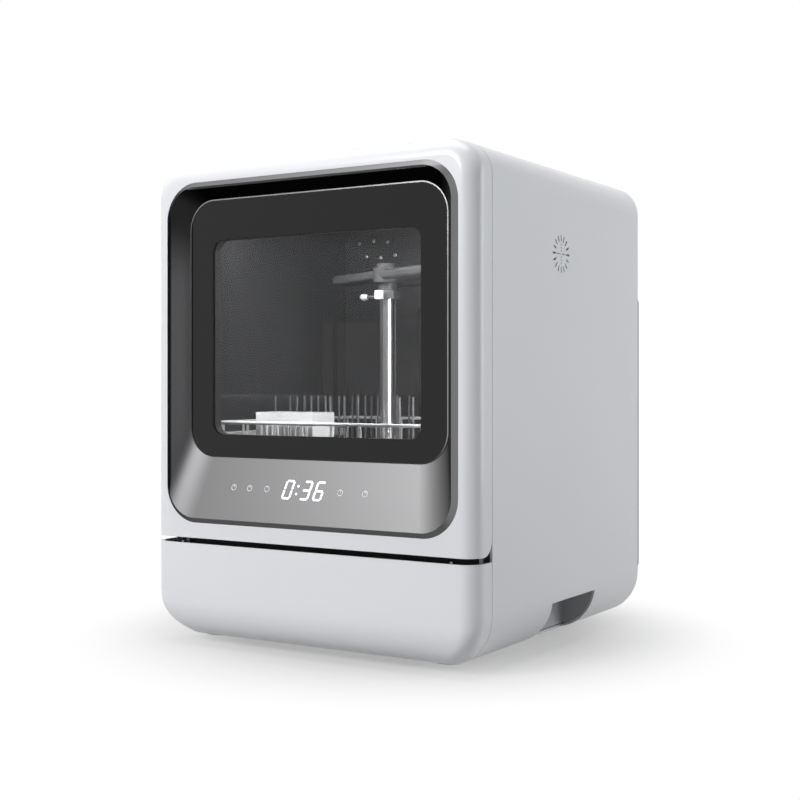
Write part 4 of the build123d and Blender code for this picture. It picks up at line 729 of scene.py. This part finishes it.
def turned_ridge(name, mount, start, profile, turns, pitch, finish):
    """A ridge of triangular profile, wound or turned round a mount's axis.

    Its foot is sunk into the spigot, and a ridge without pitch closes on itself.
    """
    middle = Vector(mount["pos_m"])
    radius = mount["dims"]["r_mm"] / 1000.0
    sunk = profile * 0.4
    steps = 40
    bpy.ops.mesh.primitive_circle_add(
        vertices=3,
        radius=profile,
        rotation=(0, 0, math.radians(-90)),
        location=(middle.x, middle.y + start, middle.z),
    )
    ridge = bpy.context.object
    bpy.ops.object.transform_apply(location=False, rotation=True, scale=True)
    bpy.ops.object.mode_set(mode="EDIT")
    bpy.ops.mesh.select_all(action="SELECT")
    bpy.ops.transform.translate(value=(radius - sunk, 0, 0))
    bpy.ops.object.mode_set(mode="OBJECT")
    wound = ridge.modifiers.new("wound", "SCREW")
    wound.axis = "Y"
    wound.steps = wound.render_steps = steps
    wound.iterations = turns
    wound.screw_offset = pitch
    wound.use_merge_vertices = pitch == 0.0
    bpy.ops.object.modifier_apply(modifier="wound")
    bpy.ops.object.mode_set(mode="EDIT")
    bpy.ops.mesh.select_all(action="SELECT")
    bpy.ops.mesh.fill_holes(sides=4)
    bpy.ops.mesh.normals_make_consistent(inside=False)
    return settle(name, "cabinet", finish)


inlet = connections["water_inlet"]
thread_start = -0.0055
thread_size = 0.0007
thread_turns = 6
thread_pitch = 0.00181
turned_ridge(
    "inlet_thread", inlet, thread_start, thread_size, thread_turns, thread_pitch, moulding_white
)
outlet = connections["drain_outlet"]
barb_size = 0.0012
for barb, barb_start in enumerate((-0.002, 0.003, 0.008)):
    turned_ridge(f"drain_barb_{barb}", outlet, barb_start, barb_size, 1, 0.0, cover_black)

# ---------------------------------------------------------------------------
# Boards: glass-fibre laminate under green lacquer, with copper tracks that
# show through it. One lies in the control box, one behind the display.
# ---------------------------------------------------------------------------
board_green = Finish("board_green", (0.03, 0.14, 0.06), 0.35)
board_tracks = board_green.place.node(
    "ShaderNodeTexBrick",
    {},
    {"Vector": board_green.place, "Scale": 320.0, "Mortar Size": 0.12},
    output=1,
)
board_green.mottle((0.025, 0.12, 0.05), (0.05, 0.2, 0.09), board_tracks)
board_green.put_on("control_board", "display_board")

# ---------------------------------------------------------------------------
# Bezel: a moulded funnel round the glass, lacquered gunmetal. Its colour holds
# painted light: the slope under the glass and the rim are painted brighter as
# lit, and the roof of the funnel is painted near black as shade.
# ---------------------------------------------------------------------------
bezel_metal = Finish(
    "bezel_metal", (0.1, 0.1, 0.105), 0.3, Metallic=1.0, Specular_Tint=(0.3, 0.3, 0.3, 1.0)
)
bezel_x, _, bezel_z = bezel_metal.place.axes()
facing_x, _, facing_z = bezel_metal.normal.axes()
# Painted light by the way each face turns: the up-facing slope is painted bright as lit, less so
# where it turns to the sides, and the top rim is painted as a highlight.
painted_slope_light = facing_z.above(0.05, 0.5) * (1.0 - 0.85 * abs(facing_x).above(0.08, 0.5))
painted_top_rim_light = bezel_z.above(0.4545, 0.455)
# Painted shade on the down-facing roof of the funnel and on its left wall near the top.
painted_roof_shade = (0.0 - facing_z).above(0.1, 0.6) * bezel_z.above(0.3, 0.4) * (1.0 - painted_top_rim_light)
painted_wall_shade = facing_x.above(0.3, 0.6) * bezel_z.above(0.36, 0.43)
# Painted shade along the left outer bevel, a painted reflection on the right outer bevel and a
# painted reflection tone on the down-facing lower bevel.
painted_left_bevel_shade = (0.0 - bezel_x).above(0.161, 0.162)
painted_right_bevel_reflection = facing_x.above(0.3, 0.6) * bezel_x.above(0.15, 0.16)
painted_lower_bevel_reflection = (0.0 - facing_z).above(0.3, 0.6) * (0.2 - bezel_z).above(0.06, 0.07)
# The gunmetal colour with the painted shade and reflections mixed in; the painted light of the
# slope and rim goes over it.
bezel_colour_with_painted_shade = bezel_metal.mix((0.08, 0.08, 0.083), (0.006, 0.006, 0.007), painted_roof_shade)
bezel_colour_with_painted_shade = bezel_metal.mix(bezel_colour_with_painted_shade, (0.02, 0.02, 0.021), painted_wall_shade)
bezel_colour_with_painted_shade = bezel_metal.mix(bezel_colour_with_painted_shade, (0.008, 0.008, 0.009), painted_left_bevel_shade)
bezel_colour_with_painted_shade = bezel_metal.mix(bezel_colour_with_painted_shade, (0.18, 0.18, 0.185), painted_right_bevel_reflection)
bezel_colour_with_painted_shade = bezel_metal.mix(bezel_colour_with_painted_shade, (0.11, 0.11, 0.113), painted_lower_bevel_reflection)
bezel_painted_light_colour = bezel_metal.mix((0.18, 0.18, 0.182), (0.2, 0.2, 0.203), painted_top_rim_light)
bezel_metal.mottle(bezel_colour_with_painted_shade, bezel_painted_light_colour, bezel_x.math("MAXIMUM", painted_slope_light, painted_top_rim_light))
bezel_grain = bezel_metal.place.noise(1200.0, 2.0)
bezel_metal.vary("Roughness", 0.42 + 0.06 * bezel_grain)
bezel_metal.put_on("bezel")

# ---------------------------------------------------------------------------
# Trim: a thin bright ring of plated plastic, let in round the glass. Along the
# foot of the glass it is painted dark as shade.
# ---------------------------------------------------------------------------
trim_chrome = Finish("trim_chrome", (0.22, 0.22, 0.225), 0.25, Metallic=1.0)
trim_smear = trim_chrome.place.noise(90.0, 2.0)
# Painted shade: the ring's colour goes dark below the foot of the glass.
trim_foot_shade = (0.22 - trim_chrome.place.axes()[2]).above(0.0, 0.03)
trim_chrome.mottle((0.24, 0.24, 0.245), (0.04, 0.04, 0.041), trim_foot_shade)
trim_chrome.vary("Roughness", 0.18 + 0.12 * trim_smear)
trim_chrome.put_on("glass_trim")

# ---------------------------------------------------------------------------
# Glass: 3.2 mm smoked pane, screen-printed black round a clear window, with a
# second pane behind it.
# ---------------------------------------------------------------------------
window_half = (0.121, 0.097)
window_middle = 0.308
window_corner = 0.012
smoked_glass = Finish("smoked_glass", (0.02, 0.02, 0.022), 0.03, IOR=1.5, Specular_IOR_Level=0.25)
glass_x, _, glass_z = smoked_glass.place.axes()
reach_x = abs(glass_x) - (window_half[0] - window_corner)
reach_z = abs(glass_z - window_middle) - (window_half[1] - window_corner)
outside_x = glass_x.math("MAXIMUM", reach_x, 0.0)
outside_z = glass_x.math("MAXIMUM", reach_z, 0.0)
print_distance = (outside_x * outside_x + outside_z * outside_z) ** 0.5 - window_corner
print_mask = print_distance.past(0.0, 0.0002)
smoked_glass.mottle((0.03, 0.03, 0.032), (0.01, 0.01, 0.011), print_mask)
smoked_glass.vary("Alpha", 0.3 + 0.7 * print_mask)
smoked_glass.put_on("outer_glass")

clear_glass = Finish(
    "clear_glass", (0.1, 0.105, 0.105), 0.03, IOR=1.5, Specular_IOR_Level=0.25, Alpha=0.1
)
clear_glass.vary("Roughness", 0.02 + 0.05 * clear_glass.place.noise(40.0, 2.0))
clear_glass.put_on("inner_glass")

# ---------------------------------------------------------------------------
# Display: lit segments and key marks printed in pale grey, all set in the
# slope under the glass.
# ---------------------------------------------------------------------------
display_light = Finish("display_light", (0.95, 0.96, 0.97), 0.4, Emission_Strength=0.85)
display_light.vary(
    "Emission Color",
    display_light.mix((0.9, 0.93, 0.97), (1.0, 1.0, 1.0), display_light.place.noise(300.0)),
)
display_light.put_on("display_digits")

key_print = Finish("key_print", (0.75, 0.76, 0.77), 0.4)
key_print.mottle((0.7, 0.71, 0.72), (0.8, 0.81, 0.82), key_print.place.noise(300.0))
key_print.put_on("key_marks")
